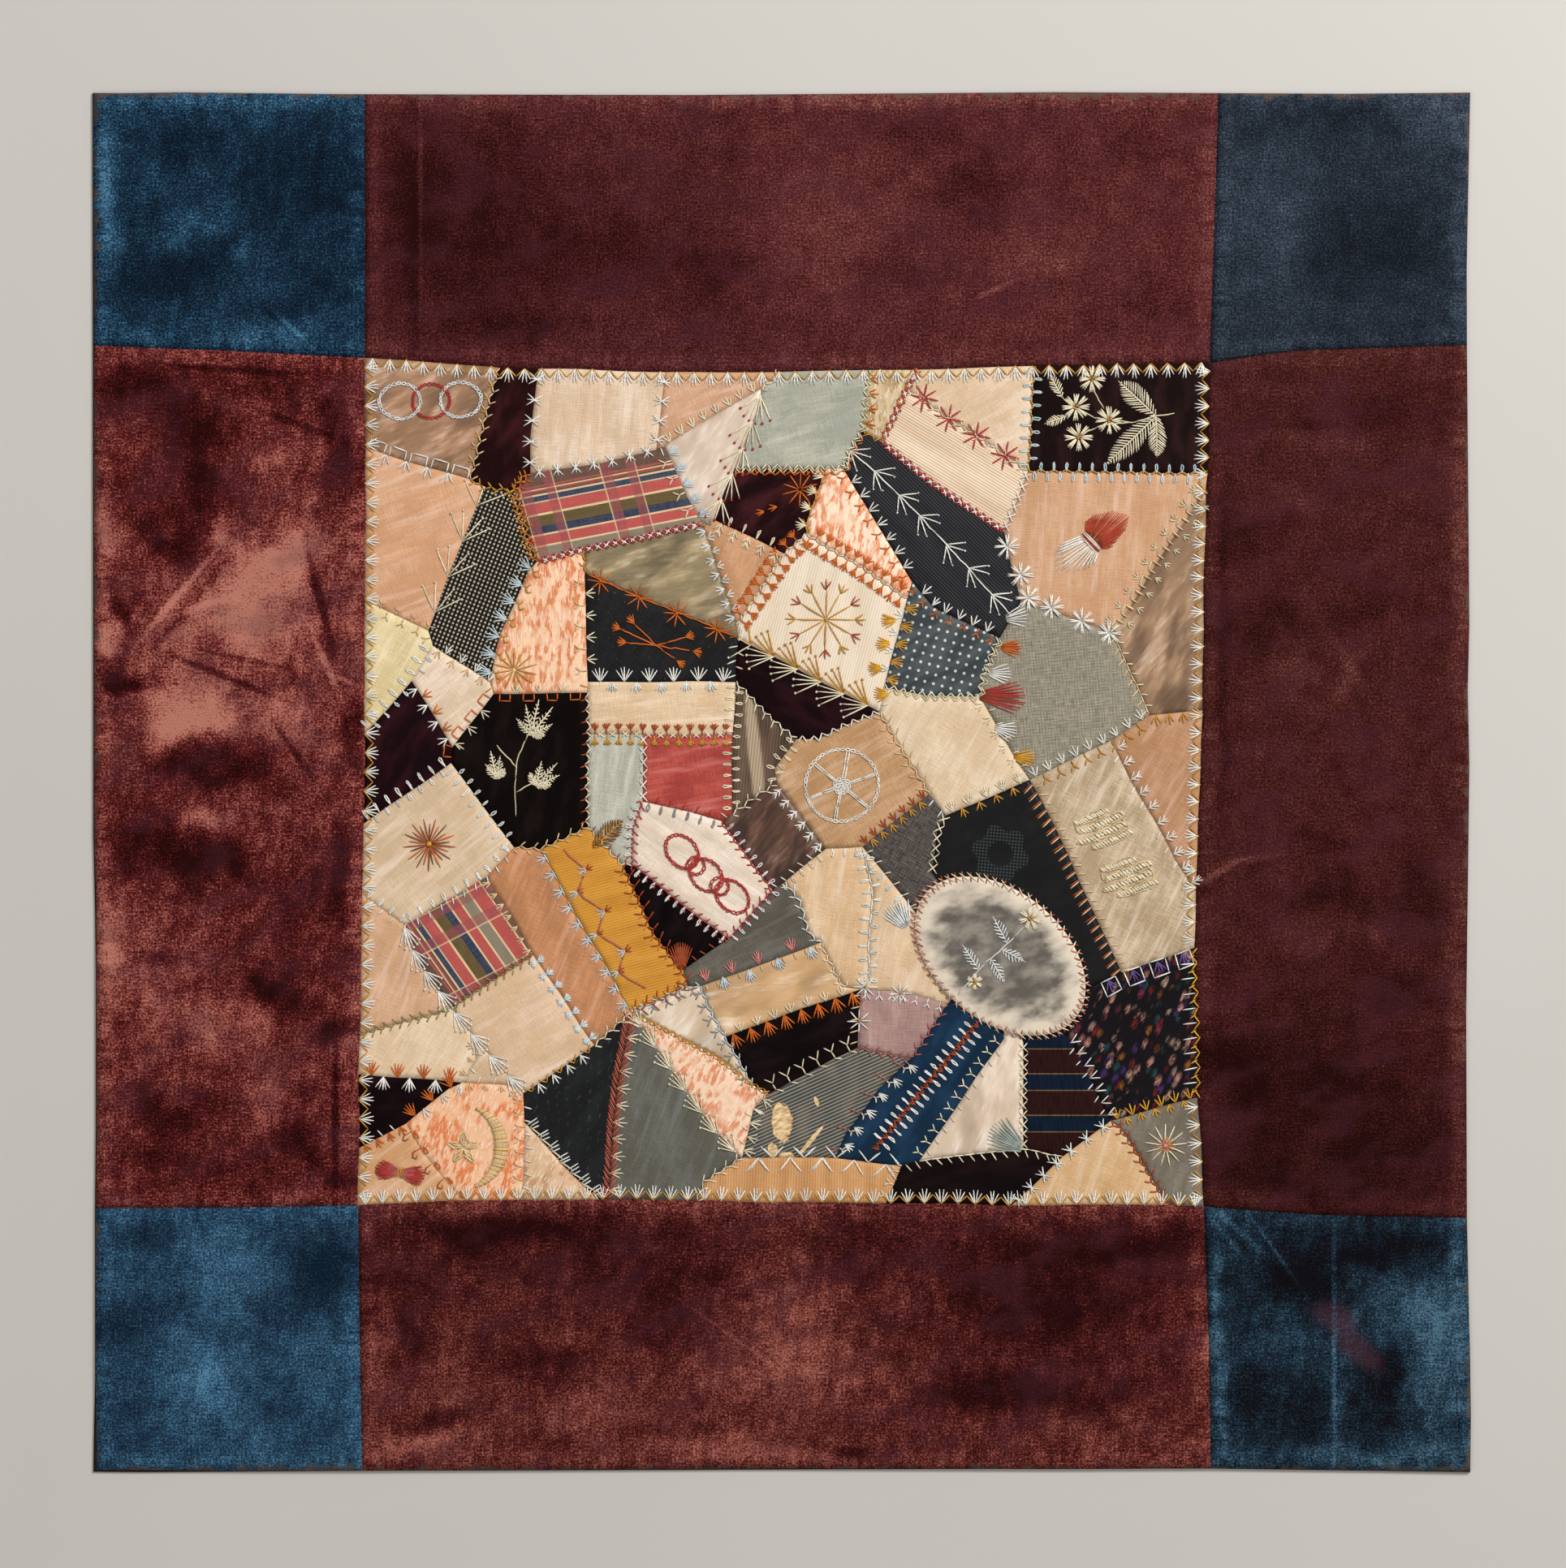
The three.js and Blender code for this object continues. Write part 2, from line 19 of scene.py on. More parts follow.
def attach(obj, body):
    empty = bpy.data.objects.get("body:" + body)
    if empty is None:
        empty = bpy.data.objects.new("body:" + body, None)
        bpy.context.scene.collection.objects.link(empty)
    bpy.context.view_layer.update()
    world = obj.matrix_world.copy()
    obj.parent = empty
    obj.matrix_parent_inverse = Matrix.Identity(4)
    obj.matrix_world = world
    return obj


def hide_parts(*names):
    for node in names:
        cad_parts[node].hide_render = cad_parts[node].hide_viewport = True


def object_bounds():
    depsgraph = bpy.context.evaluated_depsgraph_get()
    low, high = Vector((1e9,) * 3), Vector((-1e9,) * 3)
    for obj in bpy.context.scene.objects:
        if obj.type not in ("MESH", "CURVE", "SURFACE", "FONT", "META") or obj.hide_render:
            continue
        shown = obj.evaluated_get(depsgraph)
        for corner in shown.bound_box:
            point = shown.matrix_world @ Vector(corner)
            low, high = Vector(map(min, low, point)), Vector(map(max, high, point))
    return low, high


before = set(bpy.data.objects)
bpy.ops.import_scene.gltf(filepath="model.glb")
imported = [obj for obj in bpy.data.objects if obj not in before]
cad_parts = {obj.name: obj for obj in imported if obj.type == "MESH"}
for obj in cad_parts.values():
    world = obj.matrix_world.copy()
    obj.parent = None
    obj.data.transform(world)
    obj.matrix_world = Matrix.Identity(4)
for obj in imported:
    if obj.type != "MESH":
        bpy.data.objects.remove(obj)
cad_low, cad_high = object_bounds()
print("solids:", sorted(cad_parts), "wide", round(cad_high.x - cad_low.x, 4), "m")

# %% The grid over the quilt
GRID_LEFT, GRID_TOP, GRID_RIGHT, GRID_BOTTOM = 113.5, 113.0, 1812.5, 1814.6
GRID_MIDDLE = np.array([(GRID_LEFT + GRID_RIGHT) / 2, (GRID_TOP + GRID_BOTTOM) / 2])
STEP = (cad_high.x - cad_low.x) / (GRID_RIGHT - GRID_LEFT)
MM = 0.001


def metres(grid, height):
    """Places on the grid, with heights in millimetres, as points of the row frame."""
    grid = np.atleast_2d(np.asarray(grid, float))
    flat = (grid - GRID_MIDDLE) * (STEP, -STEP)
    return np.column_stack([flat, np.broadcast_to(height, len(flat)) * MM])


def spin(places, degrees):
    """Places turned about the origin by degrees, clockwise as the quilt is seen from above."""
    c, s = math.cos(math.radians(degrees)), math.sin(math.radians(degrees))
    return np.asarray(places, float) @ np.array([[c, s], [-s, c]])


def hills(places, across, along, layer):
    """Smooth random heights from about -1 to 1. Their sizes are in grid steps."""
    return np.array([noise.noise((x / across, y / along, layer)) for x, y in places])


print("one grid step is", round(STEP / MM, 4), "mm")

# %% [markdown]
# ## Camera, light and floor
# The quilt is seen from straight above. A long lens far away keeps its square true. The light is
# one wide lamp from the upper right, low enough to show the raised threads and the puckers, and
# an even pale surround that fills the shadows.

# %% Camera
PHOTO_SIZE = (1929, 1932)
LENS_MM, SENSOR_MM = 100, 36
FACE_Z = 0.003
VIEW_END = 20

camera_data = bpy.data.cameras.new("camera")
camera_data.lens = LENS_MM
camera_data.sensor_width = SENSOR_MM
camera = bpy.data.objects.new("camera", camera_data)
bpy.context.scene.collection.objects.link(camera)
above = max(PHOTO_SIZE) * STEP * LENS_MM / SENSOR_MM
camera.location = metres((PHOTO_SIZE[0] / 2, PHOTO_SIZE[1] / 2), (above + FACE_Z) / MM)[0]
camera_data.clip_end = VIEW_END
bpy.context.scene.camera = camera
print("camera", round(above, 3), "m above the face")

# %% Light and floor
KEY_FROM, KEY_SIZE, KEY_WATTS = (2.2, 2.4, 2.6), 1.2, 178
FILL_FROM, FILL_SIZE, FILL_WATTS = (-2.6, -1.8, 2.8), 2.5, 26
SURROUND, SURROUND_TINT = 0.42, (1.0, 0.985, 0.96, 1)


def soft_lamp(name, place, size, watts):
    lamp = bpy.data.lights.new(name, "AREA")
    lamp.size = size
    lamp.energy = watts
    held = bpy.data.objects.new(name, lamp)
    held.location = place
    held.rotation_euler = (-Vector(place)).to_track_quat("-Z", "Y").to_euler()
    bpy.context.scene.collection.objects.link(held)


soft_lamp("key_lamp", KEY_FROM, KEY_SIZE, KEY_WATTS)
soft_lamp("fill_lamp", FILL_FROM, FILL_SIZE, FILL_WATTS)
world = bpy.data.worlds.new("studio")
world.use_nodes = True
background = world.node_tree.nodes["Background"]
background.inputs["Color"].default_value = SURROUND_TINT
background.inputs["Strength"].default_value = SURROUND
bpy.context.scene.world = world
bpy.context.scene.view_settings.view_transform = "Standard"
print("lamps", KEY_WATTS, "and", FILL_WATTS, "watts")

# %% [markdown]
# ## Writing materials as sums
# A cloth's colour is a few layers of noise and stripes mixed together. Written as Python sums on
# sockets it reads like a recipe: `Field` wraps one socket, and an operator on it adds a Math node.


# %% Fields and new materials
def rgb(code):
    """A screen colour such as #c9b09a as linear light."""
    parts = [int(code[i:i + 2], 16) / 255 for i in (1, 3, 5)]
    return tuple(p / 12.92 if p <= 0.04045 else ((p + 0.055) / 1.055) ** 2.4 for p in parts) + (1.0,)


class Field:
    """One output socket. Sums on it add Math nodes, and node() adds any other node."""

    def __init__(self, tree, socket):
        self.tree = tree
        self.socket = socket

    def feed(self, socket, value):
        if isinstance(value, Field):
            self.tree.links.new(value.socket, socket)
        else:
            socket.default_value = value

    def node(self, kind, settings=None, sockets=None, output=0):
        made = self.tree.nodes.new(kind)
        for name, value in (settings or {}).items():
            if name == "stops":
                set_stops(made.color_ramp, value)
            else:
                setattr(made, name, value)
        for name, value in (sockets or {}).items():
            self.feed(made.inputs[name], value)
        return Field(self.tree, made.outputs[output])

    def sum(self, operation, *values):
        made = self.node("ShaderNodeMath", {"operation": operation})
        for place, value in enumerate(values):
            self.feed(made.socket.node.inputs[place], value)
        return made

    def __add__(self, other): return self.sum("ADD", self, other)
    def __radd__(self, other): return self.sum("ADD", other, self)
    def __sub__(self, other): return self.sum("SUBTRACT", self, other)
    def __rsub__(self, other): return self.sum("SUBTRACT", other, self)
    def __mul__(self, other): return self.sum("MULTIPLY", self, other)
    def __rmul__(self, other): return self.sum("MULTIPLY", other, self)
    def sine(self): return self.sum("SINE", self * (2 * math.pi))
    def fraction(self): return self.sum("FRACT", self)
    def above(self, other): return self.sum("GREATER_THAN", self, other)
    def part(self, axis): return self.node("ShaderNodeSeparateXYZ", None, {0: self}, axis)
    def red(self): return self.node("ShaderNodeSeparateColor", None, {0: self})
    def length(self): return self.node("ShaderNodeVectorMath", {"operation": "LENGTH"}, {0: self}, 1)
    def moved(self, by): return self.node("ShaderNodeVectorMath", {"operation": "ADD"}, {0: self, 1: by})

    def between(self, low, high):
        """0 below low, 1 above high, and smooth in between."""
        return self.node("ShaderNodeMapRange", {"interpolation_type": "SMOOTHSTEP"},
                         {"Value": self, "From Min": low, "From Max": high})

    def mix(self, first, second):
        """The first colour where this is 0 and the second where it is 1."""
        return self.node("ShaderNodeMix", {"data_type": "RGBA"}, {0: self, 6: first, 7: second}, 2)

    def ramp(self, *stops):
        """Colours at places from 0 to 1, blended from each to the next."""
        return self.node("ShaderNodeValToRGB", {"stops": stops}, {"Fac": self})

    def bands(self, *stops):
        """Each colour from its own place up to the next, with no blending."""
        made = self.ramp(*stops)
        made.socket.node.color_ramp.interpolation = "CONSTANT"
        return made


def set_stops(ramp, stops):
    while len(ramp.elements) < len(stops):
        ramp.elements.new(1.0)
    for element, (place, code) in zip(ramp.elements, stops):
        element.position = place
        element.color = rgb(code)


class Finish:
    """A new material, with its shader and the place on the quilt as a field."""

    def __init__(self, name, roughness=0.8, sheen=0.0, sheen_colour="#ffffff", specular=0.2):
        self.material = bpy.data.materials.new(name)
        self.material.use_nodes = True
        self.tree = self.material.node_tree
        self.shader = self.tree.nodes["Principled BSDF"]
        self.shader.inputs["Roughness"].default_value = roughness
        self.shader.inputs["Sheen Weight"].default_value = sheen
        self.shader.inputs["Sheen Roughness"].default_value = 0.4
        self.shader.inputs["Sheen Tint"].default_value = rgb(sheen_colour)
        self.shader.inputs["Specular IOR Level"].default_value = specular
        place = self.tree.nodes.new("ShaderNodeTexCoord")
        self.where = Field(self.tree, place.outputs["Object"])

    def turned(self, angle, length, width):
        """The place in a pattern turned by degrees, whose repeat is length along it and width across."""
        return self.where.node("ShaderNodeMapping", {"vector_type": "TEXTURE"},
                               {"Vector": self.where, "Rotation": (0, 0, math.radians(angle)),
                                "Scale": (length * MM, width * MM, 1)})

    def streaks(self, angle, length, width, detail=2.0, seed=0.0):
        """Noise from 0 to 1 about 0.5, drawn out along an angle. Sizes are in millimetres."""
        moved = self.turned(angle, length, width).moved((seed, seed, seed))
        return moved.node("ShaderNodeTexNoise", None, {"Vector": moved, "Scale": 1.0, "Detail": detail})

    def lines(self, angle, pitch):
        """A count that grows by 1 with each pitch across lines that run at an angle."""
        return self.turned(angle, pitch, pitch).part(1)

    def about(self, place, half_length, half_width, turn=0.0):
        """The way from a grid place, turned and counted in half lengths and half widths."""
        return self.where.node("ShaderNodeMapping", {"vector_type": "TEXTURE"},
                               {"Vector": self.where, "Location": tuple(metres(place, 0)[0]),
                                "Rotation": (0, 0, -math.radians(turn)),
                                "Scale": (half_length * STEP, half_width * STEP, 1)})

    def spot(self, place, half_length, half_width, turn=0.0, soft=0.3, ragged=0.6):
        """1 inside a ragged ellipse about a grid place, its sizes in grid steps, and 0 outside."""
        out = self.about(place, half_length, half_width, turn).length()
        edge = (self.streaks(0, 5, 5, 4.0, 3.7) - 0.5) * ragged
        return 1 - (out + edge).between(1 - soft, 1 + soft)

    def attribute(self, name):
        made = self.tree.nodes.new("ShaderNodeAttribute")
        made.attribute_name = name
        return Field(self.tree, made.outputs["Fac"])

    def colour(self, field):
        self.where.feed(self.shader.inputs["Base Color"], field)
        return self

    def gloss(self, field):
        self.where.feed(self.shader.inputs["Roughness"], field)
        return self

    def relief(self, height, depth):
        """A bump of the given depth in millimetres where height is 1."""
        bump = height.node("ShaderNodeBump", None,
                           {"Strength": 1.0, "Distance": depth * MM, "Height": height})
        self.where.feed(self.shader.inputs["Normal"], bump)
        return self


# %% The floor
FLOOR_HALF = 6.0
floor_finish = Finish("floor_paint", roughness=0.9)
floor_finish.colour(floor_finish.streaks(0, 300, 300).mix(rgb("#bdb9b3"), rgb("#c3bfb9")))
bpy.ops.object.select_all(action="DESELECT")
bpy.ops.mesh.primitive_plane_add(size=2 * FLOOR_HALF, location=(0, 0, 0))
floor = bpy.context.object
floor.name = "floor"
floor.data.materials.append(floor_finish.material)
print("floor", 2 * FLOOR_HALF, "m wide")

# %% [markdown]
# ## The plan of the seams
# Piecing starts from a plan. Each junction of seams has a name: o for the centre's corners, t r b l
# for places on its four sides, a for junctions inside it, e for a bend in a seam, and h for the hub
# that the oval covers. Patches and stitches are both placed by these names, so they always agree.

# %% Junctions
JUNCTIONS = {
    "o1": (449, 441), "o2": (1490, 446), "o3": (1483, 1488), "o4": (441, 1486),
    "t1": (614, 452), "t2": (663, 454), "t3": (819, 459), "t4": (962, 457), "t5": (1068, 457),
    "t6": (1131, 455), "t7": (1274, 452),
    "r1": (1488, 582), "r2": (1486, 600), "r3": (1481, 876), "r4": (1473, 1098), "r5": (1471, 1167),
    "r6": (1476, 1353),
    "b1": (1440, 1484), "b2": (1246, 1484), "b3": (1090, 1483), "b4": (859, 1479), "b5": (748, 1478),
    "b6": (736, 1479), "b7": (642, 1478), "b8": (570, 1479),
    "l1": (442, 1414), "l2": (442, 1324), "l3": (443, 1276), "l4": (446, 1102), "l5": (448, 1016),
    "l6": (449, 905), "l7": (450, 741), "l8": (450, 551),
    "a1": (578, 591), "a2": (596, 601), "a3": (634, 606), "a4": (661, 692), "a5": (653, 583),
    "a6": (603, 841), "a7": (608, 855), "a8": (722, 854), "a9": (719, 679), "a10": (720, 706),
    "a11": (723, 841), "a12": (724, 905), "a13": (724, 1018), "a14": (666, 1046), "a15": (633, 1043),
    "a16": (556, 940), "a17": (558, 921), "a18": (507, 838), "a19": (533, 795), "a20": (527, 777),
    "a21": (808, 553), "a22": (819, 549), "a23": (937, 479), "a24": (905, 577), "a25": (880, 641),
    "a26": (865, 646), "a27": (908, 768), "a28": (911, 786), "a29": (906, 840), "a30": (982, 911),
    "a31": (1083, 877), "a32": (1088, 848), "a33": (1118, 738), "a34": (1124, 717), "a35": (993, 658),
    "a36": (966, 682), "a37": (1017, 578), "a38": (1039, 577), "a39": (1061, 530), "a40": (1085, 545),
    "a41": (1116, 480), "a42": (1267, 581), "a43": (1236, 656), "a44": (1257, 742), "a45": (1370, 779),
    "a46": (1415, 882), "a47": (1370, 911), "a48": (1268, 960), "a49": (1206, 858), "a50": (1230, 787),
    "a51": (1145, 979), "a52": (1166, 1005), "a53": (1063, 1044), "a54": (1017, 1046), "a55": (958, 966),
    "a56": (901, 1002), "a57": (888, 1011), "a58": (791, 988), "a59": (793, 906), "a60": (902, 905),
    "a61": (779, 1066), "a62": (767, 1067), "a63": (951, 1098), "a64": (966, 1088), "a65": (897, 1158),
    "a66": (841, 1196), "a67": (846, 1216), "a68": (777, 1247), "a69": (862, 1216), "a70": (1012, 1161),
    "a71": (1042, 1216), "a72": (1059, 1218), "a73": (1127, 1124), "a74": (1148, 1077),
    "a75": (1166, 1239), "a76": (1121, 1305), "a77": (1056, 1291), "a78": (893, 1278), "a79": (926, 1335),
    "a80": (948, 1347), "a82": (914, 1427), "a83": (732, 1289), "a84": (645, 1347), "a85": (657, 1177),
    "a86": (600, 1081), "a87": (497, 1140), "a88": (556, 1242), "a89": (583, 1278), "a90": (570, 1335),
    "a92": (500, 1385), "a93": (645, 1384), "a94": (1029, 1428), "a95": (1110, 1435),
    "a96": (1132, 1430), "a97": (1260, 1414), "a98": (1310, 1425), "a99": (1368, 1381),
    "a100": (1382, 1200),
    "e1": (656, 509), "e2": (652, 543), "e3": (740, 570), "e4": (877, 513), "e5": (937, 497),
    "e6": (922, 532), "e7": (891, 610), "e8": (845, 610), "e9": (831, 575), "e10": (1064, 509),
    "e11": (1045, 559), "e12": (1237, 562), "e13": (1202, 536), "e14": (1169, 515), "e15": (1140, 590),
    "e16": (650, 705), "e17": (616, 785), "e18": (1005, 610), "e19": (994, 642), "e20": (1060, 698),
    "e21": (1243, 690), "e22": (1240, 770), "e23": (1150, 748), "e24": (1300, 756), "e25": (885, 705),
    "e26": (790, 736), "e27": (907, 812), "e28": (1007, 838), "e29": (1212, 830), "e30": (1140, 857),
    "e31": (478, 874), "e32": (850, 1000), "e33": (780, 1020), "e34": (916, 850), "e35": (932, 868),
    "e36": (957, 893), "e37": (955, 948), "e38": (930, 981), "e39": (1043, 893), "e40": (1008, 910),
    "e41": (1300, 1020), "e42": (1340, 1220), "e43": (1155, 1022), "e44": (1118, 1112),
    "e45": (1395, 965), "e46": (1418, 1004), "e47": (1448, 1061), "e48": (722, 1150), "e49": (800, 1145),
    "e50": (812, 1233), "e51": (509, 1177), "e52": (985, 1111), "e53": (997, 1150), "e54": (1075, 1100),
    "e55": (1071, 1150), "e56": (1070, 1206), "e57": (1033, 1207), "e58": (1110, 1222),
    "e59": (1337, 1318), "e60": (1315, 1277), "e61": (586, 1306), "e62": (875, 1245), "e63": (877, 1298),
    "e64": (836, 1278), "e65": (1082, 1342), "e66": (1042, 1395), "e67": (929, 1365), "e68": (1236, 1280),
    "e69": (1260, 1285), "e70": (552, 1343), "e71": (632, 1338), "e72": (520, 1420), "e73": (762, 1323),
    "e74": (799, 1278), "e75": (843, 1342), "e76": (882, 1395), "e77": (868, 1458), "e78": (1379, 1391),
    "e79": (1429, 1468),
    "h0": (1230, 1175),
}
print(len(JUNCTIONS), "junctions")

# %% [markdown]
# Hand-cut scraps never have ruler-straight edges. A slow random shift moves every place in the
# centre by about a millimetre, the same for a patch, its neighbour and the stitches over them.

# %% Lines on the grid
WANDER = 2.4
WANDER_LENGTH = 75
CENTRE_BOX = np.array([(441, 441), (1490, 1488)])
WANDER_FADE = 90
LINE_STEP = 6


def wander(grid):
    """The grid places moved as hand work moves them, fading out beyond the centre."""
    grid = np.asarray(grid, float)
    shift = np.column_stack([hills(grid, WANDER_LENGTH, WANDER_LENGTH, layer) for layer in (3.1, 9.7)])
    outside = np.maximum(CENTRE_BOX[0] - grid, grid - CENTRE_BOX[1]).max(axis=1)
    share = np.clip(1 - outside / WANDER_FADE, 0, 1)
    return grid + WANDER * share[:, None] * shift


def spaced(line, step=LINE_STEP, closed=False):
    """A line of grid places with points about a step apart, its own corners kept."""
    line = [np.array(p, float) for p in line]
    ends = line[1:] + line[:1] if closed else line[1:]
    points = []
    for a, b in zip(line, ends):
        count = max(1, round(float(np.hypot(*(b - a))) / step))
        points += [a + (b - a) * k / count for k in range(count)]
    return np.array(points if closed else points + [line[-1]])


def seam(names):
    """The places of junctions given by name."""
    return [JUNCTIONS[name] for name in names.split()]


def signed_area(loop):
    """The area in a loop, negative where the loop runs clockwise as seen from above."""
    x, y = loop[:, 0], -loop[:, 1]
    return (x * np.roll(y, -1) - y * np.roll(x, -1)).sum() / 2


def turned_round(loop):
    """The loop so that it runs anticlockwise when seen from above."""
    return loop[::-1] if signed_area(loop) < 0 else loop


def grid_area(loop):
    return abs(signed_area(loop))


# %% [markdown]
# ## Laying a sheet
# Every piece of cloth is made the same way, as a cutter would: an outline, filled with small
# triangles, given its relief point by point, and closed with a thin underside. The relief dips to
# the seams, puckers between the stitches and follows folds, so one function of place and of the
# distance to the edge serves them all.


# %% Inside an outline, and away from it
def inside(points, loop):
    """Whether each point lies inside the outline, by counting the sides that it sees to one side."""
    x, y = points[:, 0], points[:, 1]
    result = np.zeros(len(points), bool)
    for (x0, y0), (x1, y1) in zip(loop, np.roll(loop, -1, axis=0)):
        if y0 == y1:
            continue
        crosses = (y0 > y) != (y1 > y)
        result ^= crosses & (x < x0 + (y - y0) * (x1 - x0) / (y1 - y0))
    return result


def from_edge(points, loop):
    """How far each point is from the outline, and how far along the outline it is nearest."""
    best = np.full(len(points), np.inf)
    along = np.zeros(len(points))
    walked = 0.0
    for a, b in zip(loop, np.roll(loop, -1, axis=0)):
        side = b - a
        length = float(np.hypot(*side))
        share = np.clip(((points - a) @ side) / length**2, 0, 1)
        away = np.hypot(*(points - a - share[:, None] * side).T)
        near = away < best
        best[near] = away[near]
        along[near] = walked + share[near] * length
        walked += length
    return best, along


def smallest_box(loop):
    """Width and length in metres of the smallest rectangle that the outline was cut from."""
    best = None
    for degrees in range(0, 90, 5):
        wide, tall = np.ptp(spin(loop, -degrees), axis=0)
        if best is None or wide * tall < best[0] * best[1]:
            best = (wide, tall)
    return float(best[0]) * STEP, float(best[1]) * STEP


# %% The sheet builder
SHEET_THICK = 0.45
ROW_GAP = math.sqrt(3) / 2
RIM_CLEAR = 0.55
MERGE_WITHIN = 1e-4
sheets = []


def add_mesh(name, points, faces, fields, material):
    """A new mesh in the scene. fields names numbers that are given for each point."""
    mesh = bpy.data.meshes.new(name)
    mesh.from_pydata([tuple(p) for p in points], [], faces)
    for label, values in fields.items():
        mesh.attributes.new(label, "FLOAT", "POINT").data.foreach_set("value", values)
    mesh.materials.append(material)
    mesh.shade_smooth()
    piece = bpy.data.objects.new(name, mesh)
    bpy.context.scene.collection.objects.link(piece)
    return piece


def lay_sheet(name, loop, spacing, relief, material, node, under=None, fields=None):
    """A closed sheet of cloth over an outline on the grid. relief gives the top's height in
    millimetres from the places, their distance from the edge and their way along it."""
    loop = turned_round(np.asarray(loop, float))
    low, high = loop.min(axis=0), loop.max(axis=0)
    rows = np.arange(low[1], high[1], spacing * ROW_GAP)
    spots = np.array([(x + (spacing / 2 if row % 2 else 0), y)
                      for row, y in enumerate(rows) for x in np.arange(low[0], high[0], spacing)])
    spots = spots[inside(spots, loop)]
    if len(spots):
        spots = spots[from_edge(spots, loop)[0] > spacing * RIM_CLEAR]
    flat = [Vector((x, -y)) for x, y in np.vstack([loop, spots])]
    rim = len(loop)
    edges = [(i, (i + 1) % rim) for i in range(rim)]
    made, _, faces, *_ = delaunay_2d_cdt(flat, edges, [], 1, MERGE_WITHIN)
    if len(made) != len(flat):
        raise RuntimeError(f"{name}: the outline meets itself")
    grid = np.array([(p.x, -p.y) for p in made])
    away, along = from_edge(grid, loop)
    away[:rim] = 0
    top = relief(grid, away, along)
    floor = top[:rim].min() - SHEET_THICK if under is None else under
    _, _, back, *_ = delaunay_2d_cdt(flat[:rim], edges, [], 1, MERGE_WITHIN)
    count = len(grid)
    points = np.vstack([metres(grid, top), metres(grid[:rim], floor)])
    faces = [tuple(f) for f in faces]
    faces += [tuple(count + i for i in reversed(f)) for f in back]
    faces += [(i, count + i, count + (i + 1) % rim, (i + 1) % rim) for i in range(rim)]
    values = {label: measure(grid, away, along) for label, measure in (fields or {}).items()}
    values = {label: np.concatenate([v, v[:rim]]).astype(np.float32) for label, v in values.items()}
    piece = add_mesh(name, points, faces, values, material)
    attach(piece, "root")
    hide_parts(node)
    width, length = smallest_box(loop)
    min(grid_area(loop) * STEP**2, width * length)
    sheets.append(piece)


# %% [markdown]
# ## Cloths for the patches
# A scrap bag holds plain silk, satin, ribbed and figured silk, wool suiting, plaids and velvets.
# Each cloth is one short recipe. Plain silk carries faint weave and age marks, with painted shade in its
# creases and a painted highlight on the ridges between. Satin is smoother and shows long painted highlights
# where it buckles, with painted shade between. Velvet is nearly black with a soft edge of light from its
# pile. Colours are chosen for each patch.

# %% Plain silk and satin
WEAVE_PITCH = 0.8


def weave(cloth, angle, pitch=WEAVE_PITCH):
    """Fine threads both ways, as a height."""
    return cloth.lines(angle, pitch).sine() * 0.25 + cloth.lines(angle + 90, pitch).sine() * 0.25 + 0.5


def threads_both_ways(cloth, angle):
    """Uneven yarns along and across the cloth, about 0.5."""
    return cloth.streaks(angle, 9, 0.7, 1.0, 1.9) * 0.5 + cloth.streaks(angle + 90, 9, 0.7, 1.0, 2.9) * 0.5


def painted_highlight_colour(code, share):
    """The colour of a painted highlight: the colour moved towards white, a dark one less far than a light
    one.
    """
    red, green, blue, alpha = rgb(code)
    share *= max(red, green, blue)
    return tuple(part + (0.95 - part) * share for part in (red, green, blue)) + (alpha,)


def silk(name, colour, deep, angle):
    cloth = Finish(name, roughness=0.62, sheen=0.05)
    crease = cloth.streaks(angle, 42, 5, 2.0, 1.3)
    slow = cloth.streaks(angle + 40, 34, 24, 2.0, 5.1)
    yarns = threads_both_ways(cloth, angle)
    specks = cloth.streaks(angle, 2.2, 1.4, 1.0, 8.2).between(0.72, 0.80)
    tone = slow.between(0.35, 0.68) * 0.7 + yarns.between(0.38, 0.60) * 0.6
    # The creases are painted: painted shade in their troughs and a painted highlight on the ridges between.
    tone = (crease.between(0.50, 0.74) * 0.65).mix(tone.mix(rgb(colour), rgb(deep)), rgb(deep))
    tone = (1 - crease.between(0.22, 0.50)).mix(tone, painted_highlight_colour(colour, 0.14))
    cloth.colour((specks * 0.45).mix(tone, rgb("#8a6a44")))
    return cloth.relief(crease * 0.4 + yarns * 0.4 + weave(cloth, angle) * 0.12, 1.2).material


def satin(name, colour, deep, angle):
    cloth = Finish(name, roughness=0.38, sheen=0.08, specular=0.35)
    buckle = cloth.streaks(angle, 26, 9, 3.0, 2.4)
    fine = cloth.streaks(angle - 12, 13, 2.2, 3.0, 7.4)
    slow = cloth.streaks(angle + 25, 46, 22, 1.5, 6.6)
    # light is a painted highlight on the buckles, running from the deeper colour as painted shade up to the
    # colour; glint is a brighter painted highlight, and the darkening toward #2c2019 is painted shade in the
    # broad troughs.
    light = buckle.between(0.44, 0.66) * 0.55 + slow.between(0.38, 0.62) * 0.3
    light = light + fine.between(0.4, 0.65) * 0.15
    glint = fine.between(0.50, 0.72) * buckle.between(0.50, 0.62) + buckle.between(0.62, 0.74) * 0.6
    tone = light.mix(rgb(deep), rgb(colour))
    tone = ((1 - slow.between(0.30, 0.50)) * 0.22).mix(tone, rgb("#2c2019"))
    cloth.colour((glint * 0.42).mix(tone, painted_highlight_colour(colour, 0.75))).gloss(buckle * 0.3 + 0.24)
    return cloth.relief(buckle + fine * 0.25 + weave(cloth, angle) * 0.04, 1.1).material


